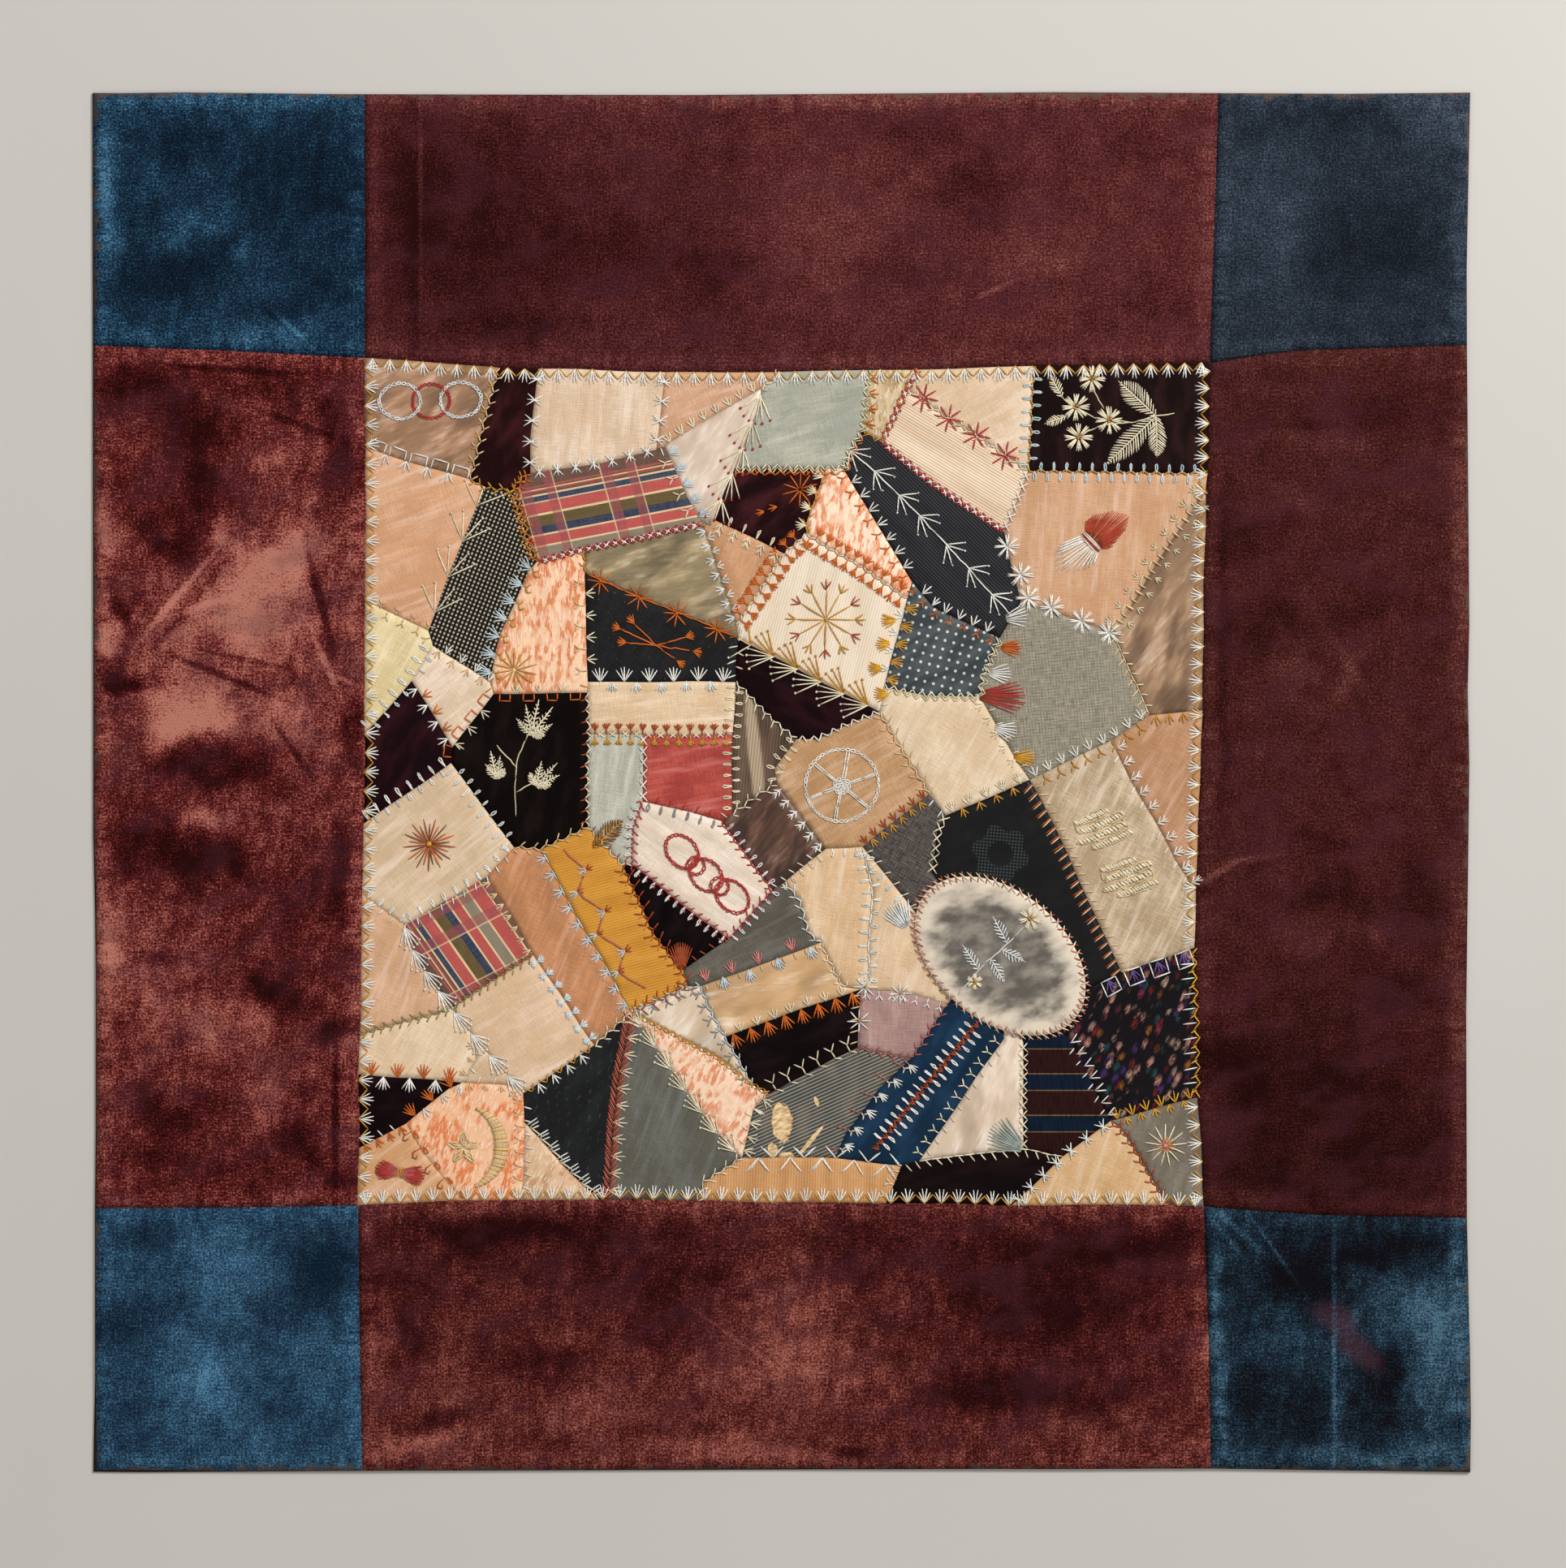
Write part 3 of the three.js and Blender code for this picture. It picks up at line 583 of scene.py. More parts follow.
def rib(name, colour, deep, angle, pitch=1.8):
    cloth = Finish(name, roughness=0.6, sheen=0.05)
    ridge = cloth.lines(angle, pitch).sine() * 0.5 + 0.5
    slow = cloth.streaks(angle, 50, 9, 2.0, 3.3)
    yarns = threads_both_ways(cloth, angle)
    tone = ridge * 0.26 + slow.between(0.3, 0.7) * 0.5 + yarns.between(0.36, 0.62) * 0.24
    cloth.colour(tone.mix(rgb(deep), rgb(colour)))
    return cloth.relief(ridge * 0.4 + slow, 0.6).material


def ribbon(name, colour, deep, angle, place=(930, 930)):
    """A dark ribbed ribbon with a pale band down its middle."""
    cloth = Finish(name, roughness=0.6, sheen=0.05)
    ridge = cloth.lines(angle, 1.9).sine() * 0.5 + 0.5
    band = cloth.spot(place, 80, 8, angle, 0.35, 0.3)
    slow = cloth.streaks(angle, 50, 9, 2.0, 3.3)
    tone = (ridge * 0.3 + slow.between(0.3, 0.7) * 0.7).mix(rgb(deep), rgb(colour))
    cloth.colour((band * (ridge * 0.4 + 0.55)).mix(tone, rgb("#b8a387")))
    return cloth.relief(ridge * 0.4 + slow, 0.6).material


# %% Velvet scraps and wool
def scrap_velvet(name, colour, deep, angle):
    cloth = Finish(name, roughness=0.95, sheen=0.15, sheen_colour=colour, specular=0.05)
    pile = cloth.streaks(angle, 1.2, 1.2, 2.0, 4.0)
    brushed = cloth.streaks(angle, 30, 12, 3.0, 7.1)
    tone = (brushed.between(0.40, 0.72) * 0.8 + pile.between(0.45, 0.8) * 0.2).mix(rgb(deep), rgb(colour))
    cloth.colour(tone)
    return cloth.relief(pile, 0.5).material


def wool(name, colour, deep, angle, pitch=2.0):
    cloth = Finish(name, roughness=0.95, sheen=0.08, specular=0.1)
    warp = cloth.streaks(angle, 8, 0.7, 2.0, 2.0)
    weft = cloth.streaks(angle + 90, 8, 0.7, 2.0, 6.0)
    slow = cloth.streaks(angle, 40, 40, 2.0, 1.0)
    tone = (warp * 0.8 + weft * 0.8 - 0.35 + slow * 0.1).between(0.25, 0.75).mix(rgb(deep), rgb(colour))
    cloth.colour(tone)
    return cloth.relief(weave(cloth, angle, pitch) * 0.5 + warp * 0.5, 0.5).material


# %% [markdown]
# Figured cloths: a brocade's figure is noise drawn out along the cloth with a sharp edge, a plaid
# is two sets of coloured bands laid over each other, and a check is the product of two.


# %% Figured silks
def brocade(name, colour, deep, angle, size=(8, 3.2)):
    cloth = Finish(name, roughness=0.45, sheen=0.05, specular=0.3)
    figure = cloth.streaks(angle, size[0], size[1], 4.0, 4.7)
    slow = cloth.streaks(angle + 90, 30, 16, 2.0, 8.8)
    fine = cloth.streaks(angle, 5, 0.8, 2.0, 2.7)
    tone = figure.between(0.44, 0.56) * slow.between(0.32, 0.54) + fine.between(0.42, 0.7) * 0.15
    tone = tone.mix(rgb(colour), rgb(deep))
    cloth.colour((fine.between(0.54, 0.68) * 0.6).mix(tone, rgb("#f8ead6")))
    return cloth.relief(figure + fine * 0.5 + weave(cloth, angle) * 0.1, 0.7).material


def dotted(name, colour, deep, angle, pitch=8.4, spot="#c3ccc8"):
    cloth = Finish(name, roughness=0.55, sheen=0.05)
    across = cloth.lines(angle, pitch).sine()
    down = cloth.lines(angle + 90, pitch).sine()
    slow = cloth.streaks(angle, 30, 8, 3.0, 2.2)
    ground = slow.between(0.38, 0.64).mix(rgb(deep), rgb(colour))
    cloth.colour(((across * down).above(0.74) * (slow + 0.35)).mix(ground, rgb(spot)))
    return cloth.relief(slow, 1.2).material


def checked(name, colour, deep, angle, pitch=2.8):
    cloth = Finish(name, roughness=0.75, sheen=0.05, specular=0.1)
    across = cloth.lines(angle, pitch).sine().between(-0.1, 0.5)
    down = cloth.lines(angle + 90, pitch).sine().between(-0.1, 0.5)
    slow = cloth.streaks(angle, 30, 14, 2.0, 2.2)
    tone = (across * down * 0.95 + across * 0.07) * (slow * 0.6 + 0.7)
    cloth.colour(tone.mix(rgb(deep), rgb(colour)))
    return cloth.relief(weave(cloth, angle) + slow * 2.0, 0.5).material


def scattered(name, colour, deep, angle, fleck="#4a504f"):
    """Black brocade with small separate leaves in black."""
    cloth = Finish(name, roughness=0.5, sheen=0.1)
    flecks = cloth.streaks(angle, 5.0, 1.6, 1.0, 3.9).between(0.58, 0.66)
    rows = cloth.lines(angle + 30, 7.0).sine().between(-0.2, 0.5)
    slow = cloth.streaks(angle, 34, 14, 2.0, 2.2)
    ground = slow.between(0.4, 0.66).mix(rgb(deep), rgb(colour))
    cloth.colour((flecks * rows * 0.3).mix(ground, rgb(fleck)))
    return cloth.relief(slow + flecks * 0.3, 0.7).material


# %% Bands
PLAID_WIDTHS = (
    # millimetres and colour, one repeat
    (17, "#5d4236"), (1, "#a14a41"), (1, "#5d4236"), (1, "#d3b48c"), (1.5, "#9a4038"), (1, "#5a4236"),
    (1.2, "#d8bd92"), (3.7, "#2b3850"), (0.8, "#c8b592"), (7, "#b34c48"), (1.5, "#d8bd92"), (7, "#5c4a26"),
    (5, "#22304a"), (1.2, "#d8bd92"), (6.2, "#b34c48"), (1.2, "#d8bd92"), (7, "#857865"), (1.2, "#d8bd92"),
    (9, "#b34c48"), (1, "#d8bd92"),
)
PLAID_BANDS = ((1.6, "#000000"), (5.8, "#ffffff"), (9.9, "#000000"), (6.7, "#ffffff"), (31.0, "#000000"))
PLAID_LINES = ((0.8, "#000000"), (0.8, "#ffffff"), (22.4, "#000000"), (1.0, "#ffffff"), (30.0, "#000000"))
# where the repeat starts down the cloth, the angle of the crossing bands, where their repeat starts
PLAID_SET = {"p13": (0.19, 106, 0.38), "p46": (0.67, 207, 0.56)}


def repeat_of(widths):
    """One repeat in millimetres, with the start of each band as a share of it."""
    ends = np.cumsum([width for width, code in widths])
    starts = [0.0, *(ends[:-1] / ends[-1])]
    return float(ends[-1]), [(float(start), code) for start, (width, code) in zip(starts, widths)]


def plaid(name, colour, deep, angle):
    cloth = Finish(name, roughness=0.6, sheen=0.05)
    down_start, angle_across, across_start = PLAID_SET[name[:3]]
    pitch, stripes = repeat_of(PLAID_WIDTHS)
    down = (cloth.lines(angle, -pitch) + down_start).fraction().bands(*stripes)
    pitch, bands = repeat_of(PLAID_BANDS)
    place = (cloth.lines(angle_across, pitch) + across_start).fraction()
    band = place.bands(*bands)
    line = place.bands(*repeat_of(PLAID_LINES)[1])
    worn = cloth.streaks(angle, 20, 8, 3.0, 2.0)
    yarns = threads_both_ways(cloth, angle)
    tone = (band.red() * 0.55).mix(down, rgb("#93434a"))
    tone = (line.red() * 0.6).mix(tone, rgb("#d8bd92"))
    tone = (yarns.between(0.4, 0.65) * 0.08).mix(tone, rgb("#c9a98a"))
    cloth.colour((worn.between(0.45, 0.75) * 0.12).mix(tone, rgb(deep)))
    return cloth.relief(worn + weave(cloth, angle) * 0.15, 1.0).material


def worn_stripes(name, colour, deep, angle):
    """Fine stripes, split so that the cream foundation shows through a few holes."""
    cloth = Finish(name, roughness=0.6, sheen=0.05)
    stripe = cloth.lines(angle, 2.2).sine().between(0.35, 0.85)
    worn = cloth.streaks(angle, 22, 8, 3.0, 2.0)
    slow = cloth.streaks(angle + 50, 30, 14, 3.0, 5.0).between(0.4, 0.68)
    tone = (stripe * (worn * 0.7 + 0.5)).mix(slow.mix(rgb(colour), rgb("#5b5147")), rgb(deep))
    hole = cloth.spot((963, 1381), 25, 12, 86, 0.1, 1.1)
    for place, length, width, turn in (((1000, 1404), 24, 3, -50), ((952, 1417), 9, 6, 80),
                                       ((969, 1424), 9, 5, 0), ((1006, 1357), 7, 2.5, 70)):
        hole = hole + cloth.spot(place, length, width, turn, 0.1)
    foundation = cloth.streaks(20, 5, 2, 3.0, 8.0).between(0.3, 0.7).mix(rgb("#ecd3a8"), rgb("#b98f5a"))
    cloth.colour(hole.mix(tone, foundation))
    return cloth.relief(worn * 1.4 - hole * 0.8, 0.8).material


def ringed(name, colour, deep, angle, place=(1232, 1052)):
    """Black silk with one dotted ring figure woven in."""
    cloth = Finish(name, roughness=0.5, sheen=0.05)
    way = cloth.about(place, 1, 1)
    out = way.length()
    petals = (way.sum("ARCTAN2", way.part(1), way.part(0)) * (6 / (2 * math.pi))).sine() * 4
    ring = out.between(14, 17) * (1 - (out + petals).between(31, 34))
    dots = (cloth.lines(angle, 3.0).sine() * cloth.lines(angle + 90, 3.0).sine()).above(0.2)
    slow = cloth.streaks(angle, 34, 14, 2.0, 2.2)
    ground = slow.between(0.4, 0.66).mix(rgb(deep), rgb(colour))
    cloth.colour((ring * dots * 0.7).mix(ground, rgb("#3d4548")))
    return cloth.relief(slow, 1.0).material


RIBBON_PITCH = 27.5
RIBBON_BANDS = ((0.00, "#2b1313"), (0.555, "#6a5636"), (0.585, "#0f1b2c"), (0.955, "#6a5636"),
                (0.985, "#2b1313"))


def banded_velvet(name, colour, deep, angle):
    cloth = Finish(name, roughness=0.9, sheen=0.1, sheen_colour="#6d4a4a", specular=0.05)
    bands = cloth.lines(angle, RIBBON_PITCH).fraction().bands(*RIBBON_BANDS)
    pile = cloth.streaks(angle + 90, 9, 1.2, 3.0, 4.0)
    cloth.colour((pile.between(0.4, 0.75) * 0.6).mix(bands, rgb(deep)))
    return cloth.relief(pile, 0.4).material


CHINE_COLOURS = ((0.00, "#120f12"), (0.30, "#c88a7c"), (0.46, "#7c2428"), (0.56, "#9a5a24"),
                 (0.64, "#c4a08c"), (0.72, "#264a4c"), (0.80, "#4a2c6c"), (0.94, "#7a3048"))


def warp_printed(name, colour, deep, angle):
    """Feathered dashes of many colours on a near-black ground."""
    cloth = Finish(name, roughness=0.8, sheen=0.1, specular=0.1)
    rough = cloth.streaks(angle, 3.0, 1.0, 3.0, 1.5)
    moved = cloth.turned(angle, 8.2, 4.2).moved(rough * 0.7)
    print_cells = {"Vector": moved, "Scale": 1.0, "Randomness": 1.0}
    hue = moved.node("ShaderNodeTexVoronoi", None, print_cells, 1).red()
    near = moved.node("ShaderNodeTexVoronoi", None, print_cells, 0)
    dash = (1 - near.between(0.12, 0.66)) * rough.between(0.34, 0.56) * 0.72
    cloth.colour(dash.mix(rgb(deep), hue.bands(*CHINE_COLOURS)))
    return cloth.relief(near, 0.3).material


# %% All cloths
CLOTHS = {
    # the recipe and the body, which sets how high the patch stands
    "silk": (silk, "silk"), "satin": (satin, "silk"), "rib": (rib, "silk"), "ribbon": (ribbon, "silk"),
    "brocade": (brocade, "silk"), "dotted": (dotted, "silk"), "plaid": (plaid, "silk"),
    "scattered": (scattered, "silk"), "ringed": (ringed, "silk"), "worn": (worn_stripes, "silk"),
    "checked": (checked, "wool"), "wool": (wool, "wool"),
    "velvet": (scrap_velvet, "velvet"), "banded": (banded_velvet, "velvet"),
    "chine": (warp_printed, "velvet"),
}
print(len(CLOTHS), "cloths")

# %% [markdown]
# ## The patches
# One row for each scrap: its name, cloth, colour, deeper colour, the way its grain runs in degrees,
# and the seam junctions clockwise round it.

# %% Table of patches
PATCHES = [
    # name, cloth, colour, deeper colour (also the painted shade of satin folds and silk creases), grain,
    # junctions clockwise
    ("p01_taupe_satin", "satin", "#ba8e6d", "#7a5a42", 35, "o1 t1 a1 l8"),
    ("p02_wine_velvet", "velvet", "#3f1a1c", "#1c090a", 70, "t1 t2 e1 e2 a5 a3 a2 a1"),
    ("p03_cream_silk", "silk", "#e5cdb6", "#d1b393", 85, "t2 t3 a21 e3 a5 e2 e1"),
    ("p04_peach_silk", "silk", "#d7aa8c", "#c0926f", 20, "t3 t4 a23 e4 a22 a21"),
    ("p05_white_satin", "satin", "#e3d0be", "#c3ac98", 60, "a22 e4 a23 e5 e6 a24 e7 a25 a26 e8 e9"),
    ("p06_grey_silk", "silk", "#b7b5a2", "#9a9a8c", 15, "t4 t5 e10 a39 e11 a38 a37 a24 e6 e5 a23"),
    ("p07_gold_brocade", "brocade", "#cbb48d", "#ab8d5e", 80, "t5 t6 a41 a40 a39 e10"),
    ("p08_cream_silk", "silk", "#e3cbb0", "#ceb08e", 30, "t6 t7 a42 e12 e13 e14 a41"),
    ("p09_ribbed_cream", "rib", "#e4ceb5", "#cbad8c", -31, "a41 e14 e13 e12 a42 a43 e15 a40"),
    ("p10_black_velvet", "velvet", "#2c1918", "#160c0c", 90, "t7 o2 r1 a42"),
    ("p11_peach_silk", "silk", "#dbac89", "#c8946c", 20, "l8 a1 a2 a20 l7"),
    ("p12_small_check", "checked", "#d6c8b0", "#15120f", 68, "a2 a3 a4 e16 e17 a6 a19 a20"),
    ("p13_silk_plaid", "plaid", "#b66c5c", "#55483a", 11, "a5 e3 a21 a22 e9 e8 a26 a9 a4 a3"),
    ("p14_wine_velvet", "velvet", "#401c1f", "#1a090b", 40, "a24 a37 e18 e19 a35 a36 a25 e7"),
    ("p15_salmon_brocade", "brocade", "#f6d8bb", "#df8d60", 75, "a37 a38 a34 a33 e20 a35 e19 e18"),
    ("p16_navy_rib", "rib", "#1d1c20", "#0e0e13", -45,
     "a39 a40 e15 a43 e21 a44 e22 a50 e23 a34 a38 e11"),
    ("p17_peach_silk", "silk", "#cfa483", "#bf9069", 85, "a42 r1 r2 a45 e24 a44 e21 a43"),
    ("p18_taupe_satin", "satin", "#b18d6b", "#6f5440", 60, "r2 r3 a46 a45"),
    ("p19_olive_satin", "satin", "#ac966f", "#6f6249", 25, "a9 a26 e25 a27 a28 e26 a10"),
    ("p20_tan_silk", "silk", "#cf9e77", "#b4835c", 70, "a26 a25 a36 a27 e25"),
    ("p21_salmon_brocade", "brocade", "#efc4a0", "#d5804f", 88, "a4 a9 a10 a11 a8 a7 a6 e17 e16"),
    ("p22_black_silk", "silk", "#161316", "#09080b", 60, "a10 e26 a28 e27 a29 a11"),
    ("p23_ivory_rib", "rib", "#e9d9c4", "#d6c1a4", 75, "a35 e20 a33 a32 a31 e28 a28 a27 a36"),
    ("p24_slate_dots", "dotted", "#4b5153", "#32393b", 30, "a34 e23 a50 e29 a49 e30 a32 a33"),
    ("p25_grey_wool", "wool", "#9f9683", "#736d60", 5, "a44 e24 a45 a46 a47 a48 a49 e29 a50 e22"),
    ("p26_straw_silk", "silk", "#ebd8ac", "#d2bc89", 60, "l7 a20 a19 a18 e31 l6"),
    ("p27_ivory_silk", "silk", "#f4ddc6", "#d6bda0", 40, "a19 a6 a7 a17 a18"),
    ("p28_wine_velvet", "velvet", "#341418", "#16070c", 60, "a18 a17 a16 l5 l6 e31"),
    ("p29_black_velvet", "velvet", "#1a110e", "#0b0706", 80, "a7 a8 a12 a13 a14 a15 a16 a17"),
    ("p30_cream_silk", "silk", "#e4caab", "#d2b28a", 5, "a11 a29 a60 a59 a12 a8"),
    ("p31_coral_silk", "silk", "#c15649", "#9b3831", 10, "a59 a60 a56 a57 e32 a58"),
    ("p32_pale_blue_silk", "silk", "#c1c0ae", "#a5a495", 80, "a12 a59 a58 e33 a61 a62 a13"),
    ("p33_striped_ribbon", "ribbon", "#6f5746", "#32241b", 84,
     "a29 e34 e35 e36 a30 e37 a55 e38 a56 a60"),
    ("p34_wine_velvet_lens", "velvet", "#2b1117", "#14070a", -30,
     "a28 e28 a31 e39 e40 a30 e36 e35 e34 a29 e27"),
    ("p35_tan_silk", "silk", "#c8a079", "#ae8358", 30, "a30 e40 e39 a31 a51 a53 a54 a55 e37"),
    ("p36_cream_silk", "silk", "#e5d0b4", "#d2b592", 60, "a32 e30 a49 a48 a52 a51 a31"),
    ("p37_brown_satin", "satin", "#775341", "#3a261d", 60, "a55 a54 a64 a63 a57 a56 e38"),
    ("p38_ivory_silk", "silk", "#eedccb", "#d9c5b0", -35, "a58 e32 a57 a63 a65 a61 e33"),
    ("p39_ringed_silk", "ringed", "#0d0b0b", "#060505", 40, "a52 a48 e41 a100 e42 h0 a74 e43"),
    ("p40_charcoal_wool", "wool", "#635c57", "#322d2b", 60, "a51 a52 e43 a74 h0 a73 e44 a53"),
    ("p41_cream_satin", "silk", "#d2bda1", "#a99071", 65, "a48 a47 e45 e46 e47 r4 r5 a100 e41"),
    ("p42_peach_tan_silk", "silk", "#c19271", "#a97a55", 60, "a46 r3 r4 e47 e46 e45 a47"),
    ("p43_cream_silk", "silk", "#e1c7aa", "#cbae8b", 40, "l5 a16 a15 a86 a87 l4"),
    ("p44_brown_tan_satin", "silk", "#cf8f63", "#ae774f", 68, "a15 a14 e48 a68 a83 a85 a86"),
    ("p45_mustard_twill", "rib", "#d4963a", "#b87a24", 15, "a14 a13 a62 e49 a66 a67 e50 a68 e48"),
    ("p46_silk_plaid", "plaid", "#b66c5c", "#55483a", 125, "a86 a85 a88 e51 a87"),
    ("p47_peach_silk", "silk", "#dcb191", "#c79b75", 70, "l4 a87 e51 a88 l3"),
    ("p48_black_velvet", "velvet", "#1b1010", "#0b0606", 60, "a62 a61 a65 a66 e49"),
    ("p49_grey_green_silk", "silk", "#686358", "#524b42", 25, "a63 a64 e52 e53 a70 a69 a67 a66 a65"),
    ("p50_cream_tan_silk", "silk", "#e0c09b", "#cea97f", 80,
     "a54 a53 e54 e55 e56 a72 a71 e57 a70 e53 e52 a64"),
    ("p51_cream_silk", "silk", "#e0c2a1", "#cdad86", 75, "a53 e44 a73 h0 a75 e58 a72 e56 e55 e54"),
    ("p52_chine_velvet", "chine", "#241a1c", "#0d0a0d", 62, "h0 e42 a100 r5 r6 a99 e59 e60"),
    ("p53_cream_silk", "silk", "#e4c6aa", "#d2b08b", 30, "a88 a85 a83 a84 a89"),
    ("p54_straw_silk", "silk", "#e9cfb0", "#d6b893", 60, "l3 a88 a89 e61 a90 l2"),
    ("p55_tan_satin", "satin", "#dcb98f", "#c49b6e", 18, "a69 a70 e57 a71 a72 a78 e62"),
    ("p56_white_satin", "satin", "#e4d2bd", "#c9b093", 55, "a68 e50 a67 a69 e62 a78 a79 e63 e64"),
    ("p57_black_velvet", "velvet", "#1d1112", "#0d0708", 20, "a78 a72 a77 a80 a79"),
    ("p58_mauve_silk", "silk", "#b59189", "#9a7a73", 88, "a72 e58 a75 a76 a77"),
    ("p59_fine_stripes", "worn", "#3f3e3b", "#9c988a", 24, "a80 a77 a76 e65 e66 a94 a82 e67"),
    ("p60_blue_velvet_ribbon", "velvet", "#203b55", "#14283b", 56, "a75 h0 e68 a96 a95 a94 e66 e65 a76"),
    ("p61_white_satin", "satin", "#e2cdb8", "#c4ad94", 78, "e68 h0 e69 a97 a96"),
    ("p62_banded_velvet", "banded", "#2b1212", "#080709", 0, "h0 e60 e59 a99 a98 a97 e69"),
    ("p63_black_velvet", "velvet", "#1d0d10", "#0f0506", 10, "l2 a90 e70 a92 l1"),
    ("p64_salmon_brocade", "brocade", "#ecb98f", "#db7c48", 70, "a90 e71 a84 a93 b7 b8 e72 a92 e70"),
    ("p65_tan_silk", "silk", "#dcae88", "#c89566", 40, "l1 a92 e72 b8 o4"),
    ("p66_cream_brocade", "brocade", "#d9b38e", "#bb9069", 60, "a93 b6 b7"),
    ("p67_leaf_brocade", "scattered", "#16191a", "#0b0c0e", 60, "a84 a83 a68 e73 b5 b6 a93"),
    ("p68_slate_green_satin", "silk", "#696961", "#575449", 70, "a68 e74 e75 e76 a82 e77 b4 b5 e73"),
    ("p69_salmon_brocade", "brocade", "#efcdae", "#da8a60", 60, "a68 e64 e63 a79 a80 e67 a82 e76 e75 e74"),
    ("p70_tan_rib", "rib", "#d4a06c", "#b07c4a", 88, "a82 a94 a95 b3 b4 e77"),
    ("p71_black_velvet", "velvet", "#1f1112", "#0f0808", 10, "a95 a96 a97 a98 b2 b3"),
    ("p72_tan_silk", "silk", "#d8b58b", "#c69c6b", 70, "a98 a99 e78 e79 b1 b2"),
    ("p73_grey_green_satin", "silk", "#82786a", "#675e50", 70, "a99 r6 o3 b1 e79 e78"),
    ("p74_cream_silk", "silk", "#dec3a6", "#c9a884", 50, "a89 a84 e71 a90 e61"),
]
print(len(PATCHES), "patches")

# %% Relief of the patches
SEAM_Z = 2.2
CLOTH_RISE = {"silk": 0.7, "wool": 1.0, "velvet": 1.2}
ROLL = 5.0
PUCKER = 0.36
PUCKER_PITCH = 20
PUCKER_REACH = 9
CREASE = {"silk": 0.9, "satin": 1.05, "rib": 0.6, "brocade": 0.7, "velvet": 0.45, "wool": 0.35, "ringed": 0.5}
OTHER_CREASE = 0.3
BROAD_CREASE, FINE_CREASE = (62, 15), (24, 8)


def patch_relief(body, kind, angle, seed):
    """The height of a patch: flat in its field, rolled down and puckered at its seams."""
    depth = CREASE.get(kind, OTHER_CREASE)

    def relief(grid, away, along):
        turned = spin(grid, angle)
        crease = hills(turned, *BROAD_CREASE, seed) + 0.5 * hills(turned, *FINE_CREASE, seed + 5)
        field = 1 - np.exp(-away / ROLL)
        pucker = PUCKER * np.sin(2 * math.pi * along / PUCKER_PITCH) * np.exp(-away / PUCKER_REACH) * field
        return SEAM_Z + CLOTH_RISE[body] * field + depth * crease * field + pucker

    return relief


# %% Lay the patches
PATCH_SPACING = 6.0
for number, (name, kind, colour, deep, angle, names) in enumerate(PATCHES):
    make, body = CLOTHS[kind]
    outline = wander(spaced(seam(names), closed=True))
    lay_sheet(name, outline, PATCH_SPACING, patch_relief(body, kind, angle, 1.7 * number),
              make(name + "_cloth", colour, deep, angle), "centre_panel")
print(len(sheets), "sheets laid")

# %% [markdown]
# ## The velvet frame
# Four maroon strips and four blue corner blocks. Old velvet shows where hands and folds have laid
# its pile: broad dark and coppery clouds, partly the worn pile's own tone and partly painted sheen.
# They are brushed on here as soft strokes from a table, broken up by noise, and carried to the
# material as a number for each point. A second number marks the seam allowance, where the pile is
# rubbed. Broad folds are shaped; narrow creases get a painted highlight and painted shade beside it.

# %% Outlines of the velvets
EDGE = {
    "nw": (115, 115), "topLeft": (449, 116), "topRight": (1501, 114.5), "ne": (1811, 114),
    "rightTop": (1807, 425), "rightBottom": (1807, 1501), "se": (1811, 1814),
    "bottomRight": (1492, 1809.5), "bottomLeft": (446, 1812.5), "sw": (119, 1811),
    "leftBottom": (118, 1489), "leftTop": (116, 426),
}
o1, o2, o3, o4 = seam("o1 o2 o3 o4")
LINES = {
    "topOfNw": [EDGE["nw"], (220, 113.5), EDGE["topLeft"]],
    "topOfTop": [EDGE["topLeft"], (640, 116.5), (850, 117), (1030, 115.5), (1300, 113.5), EDGE["topRight"]],
    "topOfNe": [EDGE["topRight"], (1660, 115.5), EDGE["ne"]],
    "rightOfNe": [EDGE["ne"], (1809, 210), (1806.5, 330), EDGE["rightTop"]],
    "rightOfRight": [EDGE["rightTop"], (1808, 600), (1810, 770), (1808, 850), (1810, 940), (1807.5, 1060),
                     (1806, 1250), EDGE["rightBottom"]],
    "rightOfSe": [EDGE["rightBottom"], (1808, 1570), (1811, 1660), (1812, 1740), EDGE["se"]],
    "bottomOfSe": [EDGE["bottomRight"], (1700, 1812), EDGE["se"]],
    "bottomOfBottom": [EDGE["bottomLeft"], (600, 1811.5), (940, 1809.5), (1300, 1810.5), EDGE["bottomRight"]],
    "bottomOfSw": [EDGE["sw"], (300, 1812.5), EDGE["bottomLeft"]],
    "leftOfNw": [EDGE["nw"], (115.5, 300), EDGE["leftTop"]],
    "leftOfLeft": [EDGE["leftTop"], (115.5, 600), (116, 850), (116, 1030), (118.5, 1120), (119, 1390),
                   EDGE["leftBottom"]],
    "leftOfSw": [EDGE["leftBottom"], (117.5, 1700), EDGE["sw"]],
    "nwToTop": [EDGE["topLeft"], (449.5, 280), o1],
    "nwToLeft": [EDGE["leftTop"], (280, 432), o1],
    "neToTop": [EDGE["topRight"], (1496, 280), o2],
    "neToRight": [o2, (1597, 432), EDGE["rightTop"]],
    "seToRight": [o3, (1623, 1497), EDGE["rightBottom"]],
    "seToBottom": [o3, (1489, 1650), EDGE["bottomRight"]],
    "swToLeft": [EDGE["leftBottom"], (280, 1488), o4],
    "swToBottom": [o4, (443, 1650), EDGE["bottomLeft"]],
    "centreTop": seam("o1 t1 t2 t3 t4 t5 t6 t7 o2"),
    "centreRight": seam("o2 r1 r2 r3 r4 r5 r6 o3"),
    "centreBottom": seam("o4 b8 b7 b6 b5 b4 b3 b2 b1 o3"),
    "centreLeft": seam("o1 l8 l7 l6 l5 l4 l3 l2 l1 o4"),
}


